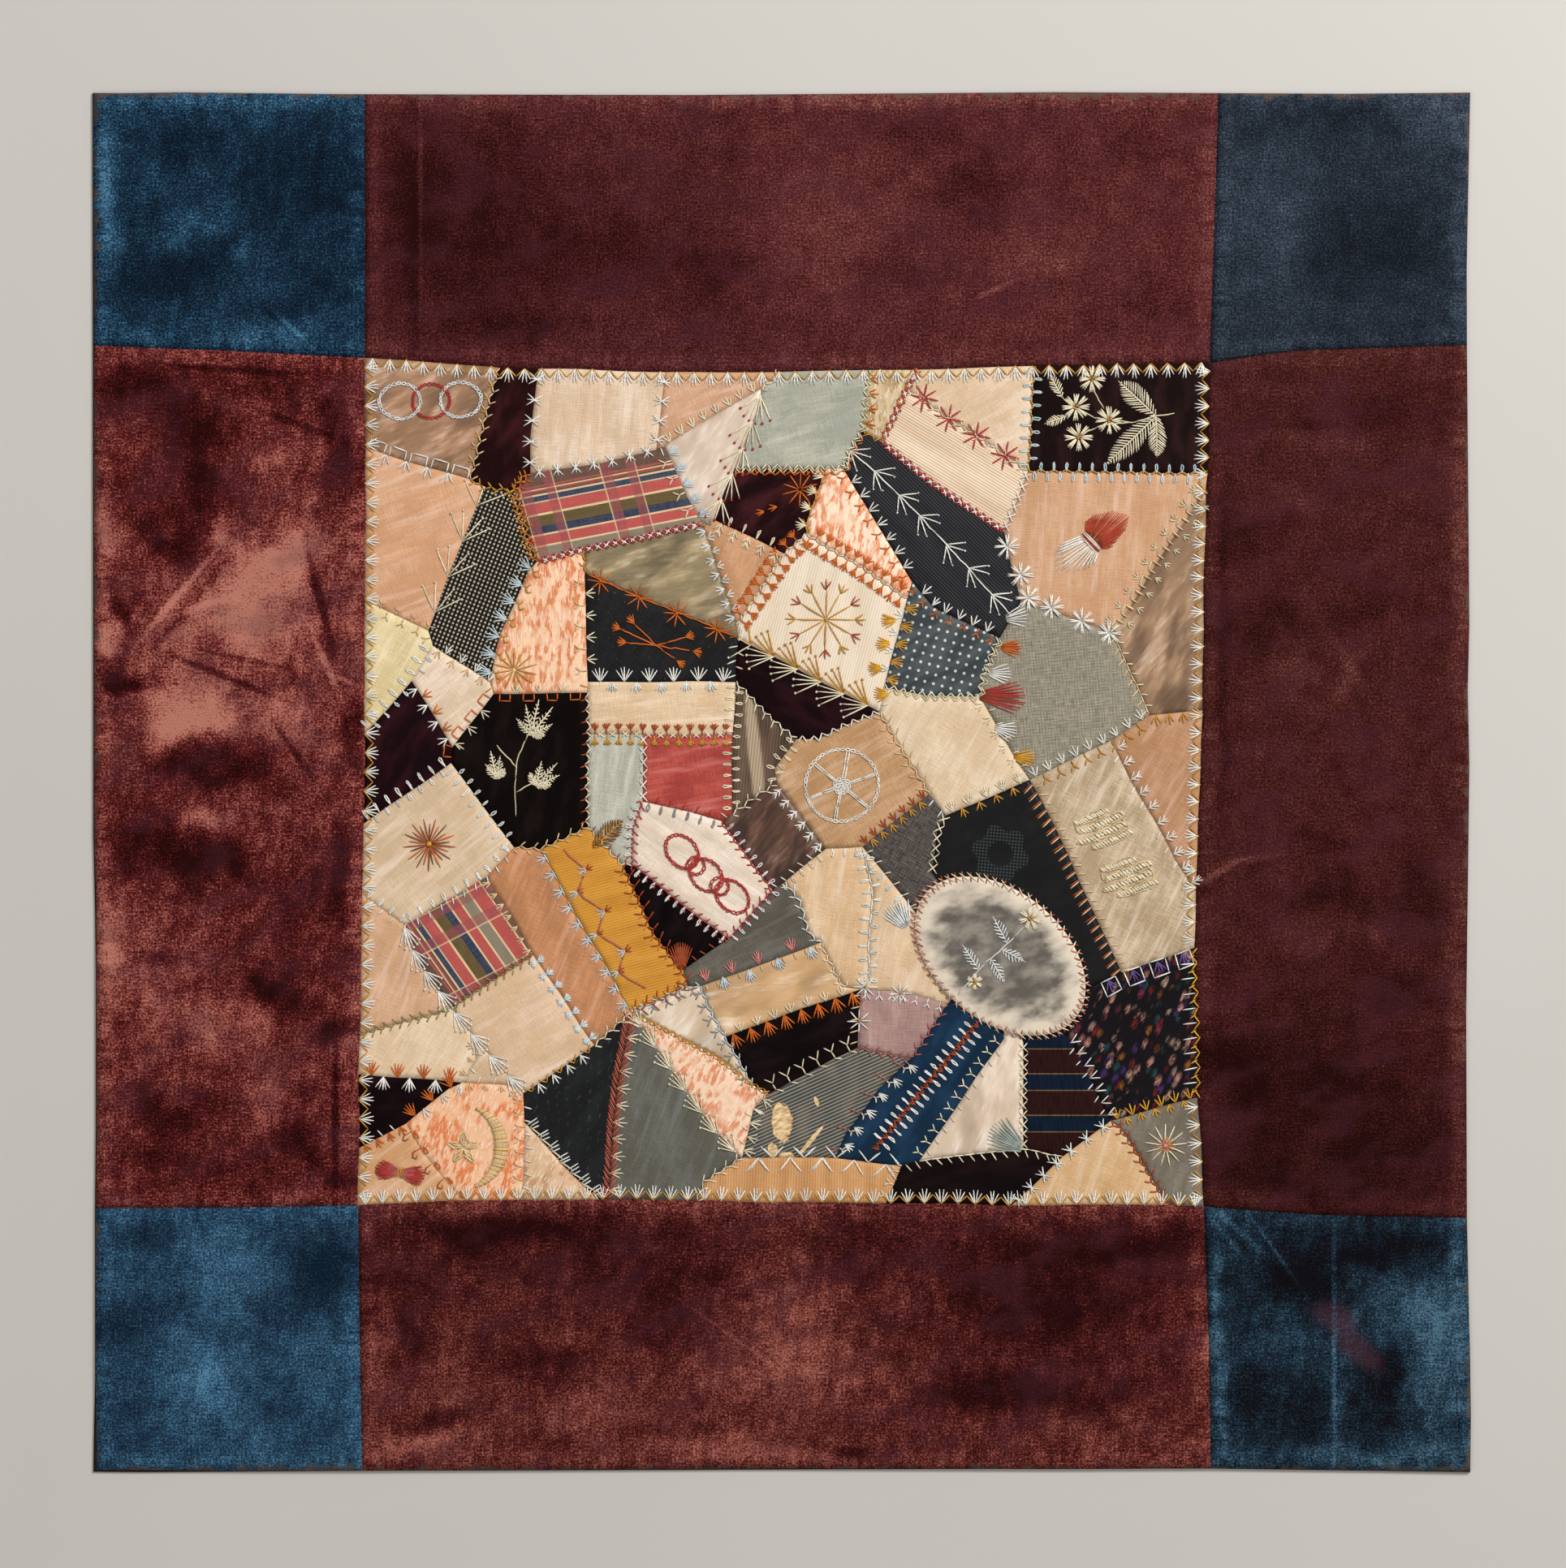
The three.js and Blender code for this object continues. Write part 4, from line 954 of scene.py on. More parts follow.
def framed(top, right, bottom, left):
    """The closed outline of a velvet piece from its four lines."""
    sides = [LINES[top], LINES[right], LINES[bottom][::-1], LINES[left][::-1]]
    return [point for side in sides for point in side[:-1]]


# %% Folds and waves of the velvet
BORDER_Z = 3.5
FOLDS = [
    # from, to, half width and height in millimetres
    ((150, 800), (185, 760), 3.5, 1.4),
    ((185, 760), (262, 700), 4.0, 1.6),
    ((185, 757), (290, 742), 3.5, 1.0),
    ((212, 805), (262, 830), 3.0, -1.0),
    ((262, 830), (335, 845), 4.0, 1.0),
    ((372, 640), (385, 715), 5.0, -1.4),
    ((385, 715), (398, 790), 4.0, -1.2),
    ((398, 815), (430, 850), 4.5, 1.3),
    ((335, 900), (378, 960), 3.0, -0.8),
    ((200, 1440), (270, 1490), 4.0, 0.8),
    ((832, 1582), (954, 1668), 2.0, 0.4),
    ((1478, 1095), (1500, 1078), 3.0, 1.5),
    ((1500, 1078), (1560, 1060), 3.5, 1.5),
    ((1480, 1110), (1560, 1072), 3.0, -1.3),
    ((1476, 1212), (1530, 1216), 3.0, -0.8),
    ((1478, 1245), (1520, 1252), 3.0, 0.8),
    ((1480, 1285), (1512, 1302), 3.0, 1.1),
    ((1484, 1330), (1500, 1350), 3.0, 1.1),
    ((335, 400), (360, 425), 4.0, 1.0),
    ((1645, 1610), (1645, 1800), 5.0, 1.3),
    ((1555, 1525), (1595, 1585), 4.0, 1.2),
    ((1510, 1470), (1560, 1492), 3.0, 1.0),
    ((518, 190), (518, 370), 3.0, 0.7),
    ((1505, 455), (1530, 500), 4.0, 0.9),
]
WAVES = [
    # wavelength along x and y, and height, in millimetres
    (210, 330, 0.30),
    (-340, 150, 0.22),
]
ALLOWANCE_STEPS, ALLOWANCE_SOFT = 20, 1.5
ALLOWANCE_RISE = 0.55
VELVET_ROLL = 4
TUCK_RISE, TUCK_REACH = 0.9, 14
SOFT_RISE, SOFT_SIZE = 0.35, 45


def fold_height(grid):
    """The folds and slow waves at each grid place, in millimetres."""
    height = np.zeros(len(grid))
    step_mm = STEP / MM
    for start, end, half_width, rise in FOLDS:
        a, b = np.array(start, float), np.array(end, float)
        share = np.clip(((grid - a) @ (b - a)) / ((b - a) @ (b - a)), 0, 1)
        away = np.hypot(*(grid - a - share[:, None] * (b - a)).T) * step_mm
        height += rise * np.exp(-(away / half_width) ** 2)
    x, y = ((grid - GRID_MIDDLE) * (step_mm, -step_mm)).T
    for along_x, along_y, rise in WAVES:
        height += rise * np.sin(2 * math.pi * (x / along_x + y / along_y))
    return height


def on_allowance(away):
    """1 over the seam allowance, which is doubled cloth, and 0 in the field."""
    return 1 / (1 + np.exp((away - ALLOWANCE_STEPS) / ALLOWANCE_SOFT))


def velvet_relief(grid, away, along):
    """The height of a velvet piece: rolled at its edge, thick over its seam allowance, and folded."""
    field = 1 - np.exp(-away / VELVET_ROLL)
    tuck = TUCK_RISE * hills(np.column_stack([along, away]), 9, 40, 2.0) * np.exp(-away / TUCK_REACH)
    soft = SOFT_RISE * hills(grid, SOFT_SIZE, SOFT_SIZE, 6.0)
    rise = ALLOWANCE_RISE * on_allowance(away) + fold_height(grid) + tuck + soft
    return SEAM_Z + (BORDER_Z - SEAM_Z + rise) * field


# %% Brush strokes of the nap and its painted sheen
NAP_SHEEN = [
    # place, half length and half width in grid steps, turn in degrees, tone of the pile and its painted sheen
    ((332, 694), 66, 36, 0, 1.0), ((228, 875), 55, 33, 5, 1.1), ((284, 764), 72, 34, 15, 0.8),
    ((128, 660), 44, 13, 90, 0.8), ((132, 790), 44, 14, 90, 0.8), ((202, 660), 42, 24, 10, -0.9),
    ((258, 612), 55, 40, 60, -0.9), ((240, 530), 50, 30, 30, -0.8), ((154, 472), 42, 18, 0, -0.6),
    ((300, 500), 60, 18, 25, 0.35), ((435, 900), 60, 12, 90, -0.8), ((417, 560), 64, 24, 90, -0.7),
    ((158, 845), 26, 14, 0, -1.0), ((150, 752), 28, 9, 70, -0.9), ((276, 938), 78, 30, 5, -1.0),
    ((354, 900), 45, 40, 0, 0.5), ((369, 657), 20, 26, 0, 0.5), ((335, 560), 30, 20, 0, 0.4),
    ((196, 1039), 60, 32, 10, -1.0), ((255, 1070), 52, 30, 0, -1.0), ((248, 1012), 34, 12, 15, 0.9),
    ((420, 1080), 70, 14, 90, -0.8), ((137, 1167), 60, 20, 90, 0.8), ((275, 1260), 46, 40, 40, 0.7),
    ((334, 1218), 34, 18, 20, -0.9), ((196, 1180), 22, 9, 15, -0.7), ((413, 1270), 22, 18, 0, -0.8),
    ((323, 1332), 40, 25, 90, 0.6), ((213, 1373), 56, 26, 0, -0.7), ((365, 1404), 32, 18, 15, -0.8),
    ((385, 1304), 40, 30, 0, 0.35), ((420, 1452), 20, 14, 0, -0.7), ((180, 1420), 40, 18, 0, -0.4),
    ((629, 1517), 130, 20, 0, -0.9), ((967, 1585), 110, 60, 80, 0.55), ((981, 1693), 150, 46, 0, 0.4),
    ((1353, 1531), 150, 28, 0, -0.8), ((1272, 1605), 100, 45, 10, -0.7), ((1238, 1713), 110, 22, 0, -0.8),
    ((501, 1639), 50, 30, 80, -0.7), ((480, 1619), 40, 14, 90, 0.6), ((656, 1673), 62, 30, 0, -0.6),
    ((521, 1781), 62, 18, 0, 0.6), ((913, 1781), 120, 16, 0, 0.6), ((1339, 1767), 120, 20, 0, 0.3),
    ((1052, 1788), 24, 9, 0, -1.2), ((535, 1747), 50, 14, 0, -0.6), ((731, 1740), 70, 20, 0, 0.4),
    ((819, 1625), 60, 40, 60, -0.5), ((620, 1590), 50, 24, 0, 0.3),
    ((981, 279), 110, 100, 0, 0.5), ((507, 245), 90, 34, 90, -0.5), ((744, 313), 90, 40, 0, -0.4),
    ((1204, 232), 46, 40, 90, -0.6), ((1103, 333), 46, 20, 0, -0.5), ((1116, 164), 60, 16, 0, -0.5),
    ((1285, 313), 70, 40, 0, 0.4), ((575, 130), 60, 16, 0, 0.3), ((1050, 122), 300, 9, 0, 0.45),
    ((640, 400), 80, 20, 0, -0.5), ((880, 330), 40, 30, 0, -0.4), ((1420, 380), 50, 24, 0, -0.4),
    ((1400, 180), 60, 20, 0, -0.3),
    ((1710, 505), 60, 25, 0, -0.5), ((1629, 542), 60, 16, 15, 0.4), ((1592, 523), 60, 8, 0, -0.5),
    ((1536, 649), 42, 25, 0, -0.5), ((1588, 612), 26, 12, 20, 0.5), ((1555, 782), 50, 30, 0, -0.6),
    ((1592, 827), 42, 25, 30, 0.5), ((1692, 742), 50, 20, 0, -0.5), ((1666, 827), 45, 10, -60, 0.5),
    ((1799, 679), 160, 12, 90, 0.5), ((1507, 771), 220, 7, 90, -0.7), ((1635, 1039), 50, 18, 0, -0.5),
    ((1649, 1105), 60, 25, 0, -0.6), ((1749, 1098), 50, 30, 90, -0.6), ((1608, 1153), 36, 20, 0, 0.5),
    ((1694, 1153), 26, 16, 0, 0.4), ((1711, 1222), 50, 26, 0, -0.6), ((1522, 1311), 44, 42, 0, -0.9),
    ((1490, 1425), 30, 20, 90, -0.5), ((1618, 1418), 36, 28, 90, 0.5), ((1792, 1304), 190, 16, 90, 0.6),
    ((1640, 1330), 40, 30, 0, -0.4), ((1560, 1460), 60, 12, 10, -0.5),
    ((130, 250), 90, 16, 90, 0.8), ((215, 295), 62, 34, -25, 0.8), ((290, 315), 20, 14, 0, 0.6),
    ((360, 220), 85, 70, 0, -0.55), ((220, 170), 70, 30, 0, -0.5), ((380, 360), 50, 40, 0, -0.4),
    ((170, 395), 50, 26, 0, 0.4), ((280, 124), 160, 9, 0, 0.4), ((330, 412), 80, 14, 0, 0.5),
    ((300, 1565), 70, 45, 0, 0.7), ((150, 1640), 42, 40, 0, -0.8), ((260, 1705), 62, 45, 0, 0.7),
    ((405, 1570), 40, 45, 0, -0.5), ((340, 1775), 80, 26, 0, 0.3), ((175, 1530), 40, 24, 0, -0.5),
    ((385, 1690), 36, 60, 0, 0.4), ((150, 1750), 40, 40, 0, -0.3),
    ((1705, 1535), 62, 30, 0, -1.0), ((1610, 1580), 46, 24, 20, -0.9), ((1640, 1545), 60, 16, 0, -0.5),
    ((1700, 1715), 36, 50, 0, -0.9), ((1545, 1735), 45, 50, 0, -0.7), ((1612, 1745), 30, 45, 0, -0.6),
    ((1776, 1660), 30, 110, 0, 0.7), ((1499, 1660), 9, 150, 0, 0.7), ((1740, 1620), 50, 30, 0, 0.5),
    ((1560, 1625), 40, 40, 0, 0.35), ((1690, 1790), 110, 12, 0, 0.4), ((1600, 1650), 36, 20, 0, 0.3),
    ((322, 735), 62, 62, 0, 0.55), ((236, 862), 64, 40, 0, 0.3), ((150, 838), 26, 22, 0, -0.7),
    ((600, 300), 175, 150, 0, -0.4), ((1640, 1330), 150, 160, 0, -0.4), ((1280, 1660), 200, 130, 0, -0.3),
    ((270, 480), 180, 50, 0, -0.45), ((190, 590), 80, 50, 0, -0.3), ((205, 800), 60, 40, 0, 0.45),
    ((357, 1110), 80, 60, 0, -0.4), ((360, 1225), 80, 50, 0, -0.35), ((357, 1320), 80, 50, 0, -0.3),
    ((280, 1440), 160, 45, 0, -0.4), ((180, 1215), 60, 60, 0, 0.3), ((200, 955), 80, 50, 0, -0.3),
    ((700, 1560), 300, 60, 0, -0.45), ((1050, 1530), 180, 50, 0, -0.4), ((560, 260), 110, 150, 0, -0.35),
    ((890, 300), 110, 140, 0, -0.45), ((1640, 1400), 170, 100, 0, -0.45), ((1580, 1590), 75, 70, 0, -0.6),
    ((370, 1575), 80, 70, 0, -0.55), ((370, 1740), 70, 60, 0, -0.3), ((205, 300), 70, 60, 0, -0.45),
    ((1560, 270), 60, 90, 0, 0.4), ((1700, 300), 90, 60, 0, -0.7), ((1640, 150), 90, 24, 0, -0.4),
    ((1770, 150), 50, 34, 0, 0.6), ((1798, 330), 90, 10, 90, 0.4), ((1700, 410), 90, 16, 0, -0.4),
    ((330, 750), 100, 110, 0, 0.2), ((280, 905), 150, 50, 0, 0.28), ((200, 340), 70, 60, 0, -0.6),
    ((600, 280), 170, 150, 0, -0.2), ((1650, 1440), 150, 60, 0, -0.3), ((525, 1720), 90, 60, 0, 0.25),
    ((1390, 1570), 80, 60, 0, -0.3),
]
CREASE_SHADING = [
    # place, half length and half width in grid steps, turn in degrees, tone: above 0 a painted highlight on a
    # crease's ridge, below 0 painted shade beside it
    ((216, 738), 62, 4, -50, 0.45), ((230, 750), 56, 6, -50, -0.30), ((246, 748), 40, 4, -20, 0.30),
    ((268, 830), 62, 4, 22, -0.40), ((300, 812), 46, 3, 12, -0.25), ((362, 925), 34, 4, 55, -0.35),
    ((392, 730), 62, 5, 76, -0.40), ((400, 815), 40, 4, 66, 0.35), ((424, 838), 16, 3, 20, 0.40),
    ((280, 455), 70, 4, 4, -0.30), ((360, 520), 60, 4, 20, -0.25), ((413, 1375), 90, 4, 90, -0.35),
    ((518, 250), 120, 3, 90, 0.30), ((509, 330), 90, 8, 90, -0.16), ((1225, 357), 26, 3, -25, 0.30),
    ((892, 1640), 80, 1.8, 35, 0.22), ((356, 402), 26, 3, 42, 0.35), ((345, 396), 30, 4, 42, -0.25),
    ((1643, 1660), 3, 150, 0, 0.35), ((1578, 1552), 42, 2.5, 55, 0.40), ((1530, 1520), 34, 4, 42, 0.30),
    ((1516, 1530), 30, 3, 50, 0.25), ((1664, 822), 40, 6, 58, 0.14), ((1500, 1075), 24, 4, -30, 0.35),
    ((1540, 1058), 26, 4, -10, 0.30),
]
NAP_WARPS = [
    # size of the hills and how far they push, in grid steps, and their layer
    (60, 30, 11.0),
    (18, 12, 21.0),
]
RAGGED_FROM = 24
STROKE_EDGE = 1.4
NAP_SHEEN_SHARE, BROKEN_SHARE = 0.46, 0.14


def nap_sheen_tone(grid, away, along):
    """The lie of the pile with its painted sheen: 0 where it is dark, 1 where it is bright, 0.5 between."""
    tone = np.zeros(len(grid))
    broken = hills(grid, 34, 26, 1.0) + 0.6 * hills(grid, 13, 11, 4.0)
    warp = np.zeros((len(grid), 2))
    for size, reach, layer in NAP_WARPS:
        warp += reach * np.column_stack([hills(grid, size, size, layer + shift) for shift in (0, 6)])
    for place, half_length, half_width, turn, strength in NAP_SHEEN:
        ragged = min(1.0, half_width / RAGGED_FROM)
        u, v = spin(grid + warp * ragged - place, -turn).T
        tone += strength * np.exp(-(((u / half_length) ** 2 + (v / half_width) ** 2) ** STROKE_EDGE))
    return 0.5 + NAP_SHEEN_SHARE * tone + BROKEN_SHARE * broken


def edge_wear(grid, away, along):
    """1 over the seam allowance and 0 in the field, with small tucks along it."""
    tucks = hills(np.column_stack([along, away]), 5, 50, 3.0)
    return on_allowance(away) * (0.6 + 1.6 * tucks)


# %% The velvet's material
RIM_FROM, RIM_TO, RIM_RAGGED = 0.453, 0.458, 0.022
STAINS = [
    # place, half length and half width in grid steps, turn in degrees
    ((1645, 1622), 26, 14, 20),
    ((1672, 1662), 34, 14, 42),
]


def rim_of_quilt(cloth):
    """Where the pile has worn to its brown ground along the outermost edge."""
    absolute = cloth.where.node("ShaderNodeVectorMath", {"operation": "ABSOLUTE"}, {0: cloth.where})
    out = absolute.sum("MAXIMUM", absolute.part(0), absolute.part(1))
    rough = cloth.streaks(0, 10, 10, 5.0, 12.0)
    return (out + (rough - 0.5) * RIM_RAGGED).between(RIM_FROM, RIM_TO)


def node_slot(node):
    """The kind of velvet of a piece, blue_velvet for a corner and maroon_velvet for a strip."""
    return "blue_velvet" if node.startswith("corner") else "maroon_velvet"


def pile_velvet(name, outline, dark, middle, light, crest, worn):
    """Velvet whose tone follows the nap and its painted sheen, with painted highlights and painted shade
    along its creases. worn says how strongly it has been brushed and rubbed; it also scales the painted
    sheen.
    """
    cloth = Finish(name, roughness=0.95, sheen=0.12, sheen_colour=light, specular=0.04)
    # The attribute read here is the pile's tone with its painted sheen.
    nap_sheen = cloth.attribute("nap_sheen")
    edge = cloth.attribute("edge")
    rows = cloth.streaks(0, 12, 0.9, 2.0, 1.0)
    posts = cloth.streaks(90, 12, 0.9, 2.0, 5.0)
    pile = cloth.streaks(0, 1.4, 1.4, 3.0, 3.0)
    clouds = cloth.streaks(80, 14, 8, 6.0, 9.0)
    mottle = cloth.streaks(5, 5, 2.6, 4.0, 21.0)
    tone = 0.47 + (nap_sheen - 0.5) * (0.6 + 0.4 * worn) + edge * 0.16 + (clouds - 0.5) * (0.7 * worn)
    tone = tone + (rows - 0.5) * 0.4 + (posts - 0.5) * 0.4 + (pile - 0.5) * 1.8
    tone = tone + (mottle - 0.5) * (0.42 * worn)
    # Painted highlights on the ridges of the creases and painted shade beside them.
    for place, half_length, half_width, turn, strength in CREASE_SHADING:
        if inside(np.array([place], float), outline)[0]:
            crease_light_and_shade = cloth.spot(place, half_length, half_width, turn, soft=0.8, ragged=0.25)
            tone = tone + crease_light_and_shade * strength
    colour = tone.ramp((0.05, dark), (0.45, middle), (0.80, light), (1.0, crest))
    if name == "corner_bottom_right":
        first, second = [cloth.spot(*stain, soft=0.6) for stain in STAINS]
        colour = ((first + second) * 0.45).mix(colour, rgb("#4a2a33"))
    if node_slot(name) == "maroon_velvet":
        faded = cloth.streaks(15, 40, 26, 3.0, 31.0).between(0.46, 0.66)
        colour = (faded * 0.35).mix(colour, rgb("#47212a"))
    colour = (rim_of_quilt(cloth) * 0.7).mix(colour, rgb("#59483d"))
    cloth.colour(colour)
    return cloth.relief(pile + rows * 0.4, 0.8).material


PILE = {
    # node: dark, middle, light and crest of the nap's tone and painted sheen, and how worn it is
    "border_top": ("#26090a", "#4b1e1f", "#6b3936", "#8b574d", 0.5),
    "border_right": ("#1f0707", "#3c1716", "#572c28", "#75483e", 0.5),
    "border_bottom": ("#230708", "#4b1a19", "#80443b", "#a36255", 1.0),
    "border_left": ("#250606", "#581c1c", "#98534a", "#b07262", 1.0),
    "corner_top_left": ("#08111b", "#14283a", "#2c5069", "#4c7692", 0.7),
    "corner_top_right": ("#0f131b", "#20262f", "#353f4c", "#4c5760", 0.5),
    "corner_bottom_right": ("#0d0b10", "#182632", "#304a5c", "#4b6a7c", 1.0),
    "corner_bottom_left": ("#0c1b2a", "#20374b", "#3a617d", "#5682a0", 0.8),
}
VELVETS = [
    # node, and the lines along the top, right, bottom and left
    ("border_top", "topOfTop", "neToTop", "centreTop", "nwToTop"),
    ("border_right", "neToRight", "rightOfRight", "seToRight", "centreRight"),
    ("border_bottom", "centreBottom", "seToBottom", "bottomOfBottom", "swToBottom"),
    ("border_left", "nwToLeft", "centreLeft", "swToLeft", "leftOfLeft"),
    ("corner_top_left", "topOfNw", "nwToTop", "nwToLeft", "leftOfNw"),
    ("corner_top_right", "topOfNe", "rightOfNe", "neToRight", "neToTop"),
    ("corner_bottom_right", "seToRight", "rightOfSe", "bottomOfSe", "seToBottom"),
    ("corner_bottom_left", "swToLeft", "swToBottom", "bottomOfSw", "leftOfSw"),
]

# %% Lay the velvets
VELVET_SPACING, VELVET_UNDER = 6.5, 1.6
for node, *sides in VELVETS:
    outline = wander(spaced(framed(*sides), closed=True))
    velvet = pile_velvet(node, outline, *PILE[node])
    # The first field is the pile's tone with its painted sheen.
    lay_sheet(node + "_velvet", outline, VELVET_SPACING, velvet_relief, velvet, node,
              under=VELVET_UNDER, fields={"nap_sheen": nap_sheen_tone, "edge": edge_wear})
print(len(sheets), "sheets laid")

# %% [markdown]
# ## Backing and oval
# The backing is plain dark cotton, a little larger than the velvet on the left. The oval is cream
# satin with a soft grey wash, laid over the seams of five patches. Its sprig is embroidered later.

# %% Backing
BACKING_TOP, BACKING_SPACING = 1.2, 24
BACKING_OUTLINE = [
    (113.5, 114), (449, 115.5), (850, 116.5), (1300, 113), (1660, 115), (1811.5, 113.5),
    (1807.2, 330), (1807.5, 425), (1810.5, 770), (1808.5, 850), (1810.5, 940), (1806.6, 1250),
    (1807.5, 1500), (1812.5, 1740), (1811.6, 1814.6), (1492, 1810), (1030, 1811), (446, 1813),
    (170, 1814.5), (114.5, 1814), (115, 1775), (116.5, 1700), (116.5, 1489), (117.5, 1390),
    (117.5, 1200), (116.5, 1120), (114.5, 1030), (114.5, 850), (114, 600), (114, 426),
]
cotton = Finish("dark_cotton", roughness=0.95)
threads = weave(cotton, 0, 1.0)
cotton.colour((threads * 0.5 + cotton.streaks(0, 40, 40) * 0.5).mix(rgb("#1c120d"), rgb("#36271e")))
cotton.relief(threads, 0.25)


def flat_relief(grid, away, along):
    return np.full(len(grid), BACKING_TOP)


lay_sheet("backing_cotton", spaced(BACKING_OUTLINE, 20, closed=True), BACKING_SPACING, flat_relief,
          cotton.material, "backing", under=0.0)

# %% Oval
OVAL_CENTRE, OVAL_HALF_LENGTH, OVAL_HALF_WIDTH, OVAL_TURN = (1232, 1178), 120, 79, 40
OVAL_SPACING, OVAL_UNDER, OVAL_RIM_Z, OVAL_RISE, OVAL_ROLL = 5.0, 3.75, 4.1, 0.8, 5
OVAL_CORNERS, OVAL_REACH = 96, 1.06


def oval_point(angle, share=1.0):
    """A place on the oval, by an angle round it and a share of the way out."""
    way = OVAL_HALF_LENGTH * share * math.cos(angle), OVAL_HALF_WIDTH * share * math.sin(angle)
    return OVAL_CENTRE + spin(way, OVAL_TURN)


def oval_relief(grid, away, along):
    return OVAL_RIM_Z + OVAL_RISE * (1 - np.exp(-away / OVAL_ROLL)) + 0.3 * hills(grid, 40, 40, 12.0)


def washed_satin():
    """Cream satin with a cloudy grey wash that fades towards the edge."""
    cloth = Finish("washed_satin", roughness=0.5, sheen=0.1)
    out = cloth.about(OVAL_CENTRE, OVAL_HALF_LENGTH, OVAL_HALF_WIDTH, OVAL_TURN).length()
    cloud = cloth.streaks(20, 16, 10, 4.0, 3.0)
    wash = (1 - (out + (cloud - 0.5) * 0.6).between(0.58, 1.0)) * 0.95
    tone = cloud.between(0.36, 0.66).mix(rgb("#4d4843"), rgb("#857c71"))
    cloth.colour(wash.mix(rgb("#d9cbb6"), tone))
    return cloth.relief(cloud, 0.3).material


oval_outline = [oval_point(2 * math.pi * k / OVAL_CORNERS) for k in range(OVAL_CORNERS)]
lay_sheet("oval_satin", oval_outline, OVAL_SPACING, oval_relief, washed_satin(), "oval_patch",
          under=OVAL_UNDER)
print(len(sheets), "sheets in all")

# %% [markdown]
# ## Embroidery
# Seam embroidery is a short unit repeated along a seam. Each unit is a few strokes in its own
# small frame, u along the seam and v across it to the right of the way the seam is walked. A
# stroke is a tube of silk that dives into the cloth at both ends and arches a little between. All
# strokes of one colour become one mesh, because there are thousands of them.

# %% Threads
THREADS = {
    "white": "#f4f0e6", "silver": "#e8eae6", "cream": "#f0e2c2", "sage": "#ddd2ab", "gold": "#cf9636",
    "yellow": "#e6a92e", "tan": "#e8c997", "orange": "#d66a1e", "rust": "#ad4b28", "red": "#b83a35",
    "pink": "#d98880", "rose": "#b56a62", "paleblue": "#d0dee3", "brown": "#7d4f2c", "grey": "#9a9b94",
    "olive": "#a0935a", "purple": "#6c5590", "moss": "#9aaba0",
}
THREAD_WIDTH = 0.95
THREAD_ARCH = 0.35
KNOT_WIDTH = 1.9
PADDED = 1.1
HAND = 0.8
rng = np.random.default_rng(7)
strokes = {thread: [] for thread in THREADS}


def stitch(thread, line, width=THREAD_WIDTH):
    """One stroke along grid places already moved by wander, as a hand would place it."""
    line = np.asarray(line, float) + rng.normal(0, HAND / 2, (len(line), 2))
    strokes[thread].append((line, width * rng.uniform(0.9, 1.12)))


# %% Stitches in their own frame
def rays(height, width, count, root=0.0):
    """Strokes that spread from one place to the sides of a fan."""
    spread = np.linspace(-1, 1, count)
    return [[(root * t * width, 0), (width / 2 * t, height * (1 - 0.22 * t * t))] for t in spread]


def loop(height, width):
    """A drop-shaped loop with its point at the seam."""
    turn = np.linspace(0, 2 * math.pi, 9)
    return [[(width / 2 * math.sin(t) * math.sin(t / 2), height * (1 - math.cos(t)) / 2) for t in turn]]


def cross(height, width):
    """Two slanted strokes that cross over the seam."""
    return [[(-width / 2, -height / 2), (width / 2, height / 2)],
            [(width / 2, -height / 2), (-width / 2, height / 2)]]


def side_tips(height, width, shares):
    """Single places round a fan that opens along the seam."""
    return [[(height * (1 - 0.3 * t * t), width / 2 * t)] for t in shares]


def leaning_tips(height, width):
    """Single places round a fan that leans away from the seam."""
    return [[(height * math.cos(t), width * math.sin(t))] for t in (0.15, 0.4, 0.65, 0.9)]


def from_root(tips):
    """A stroke from the seam to each of some places."""
    return [[(0, 0), *tip] for tip in tips]


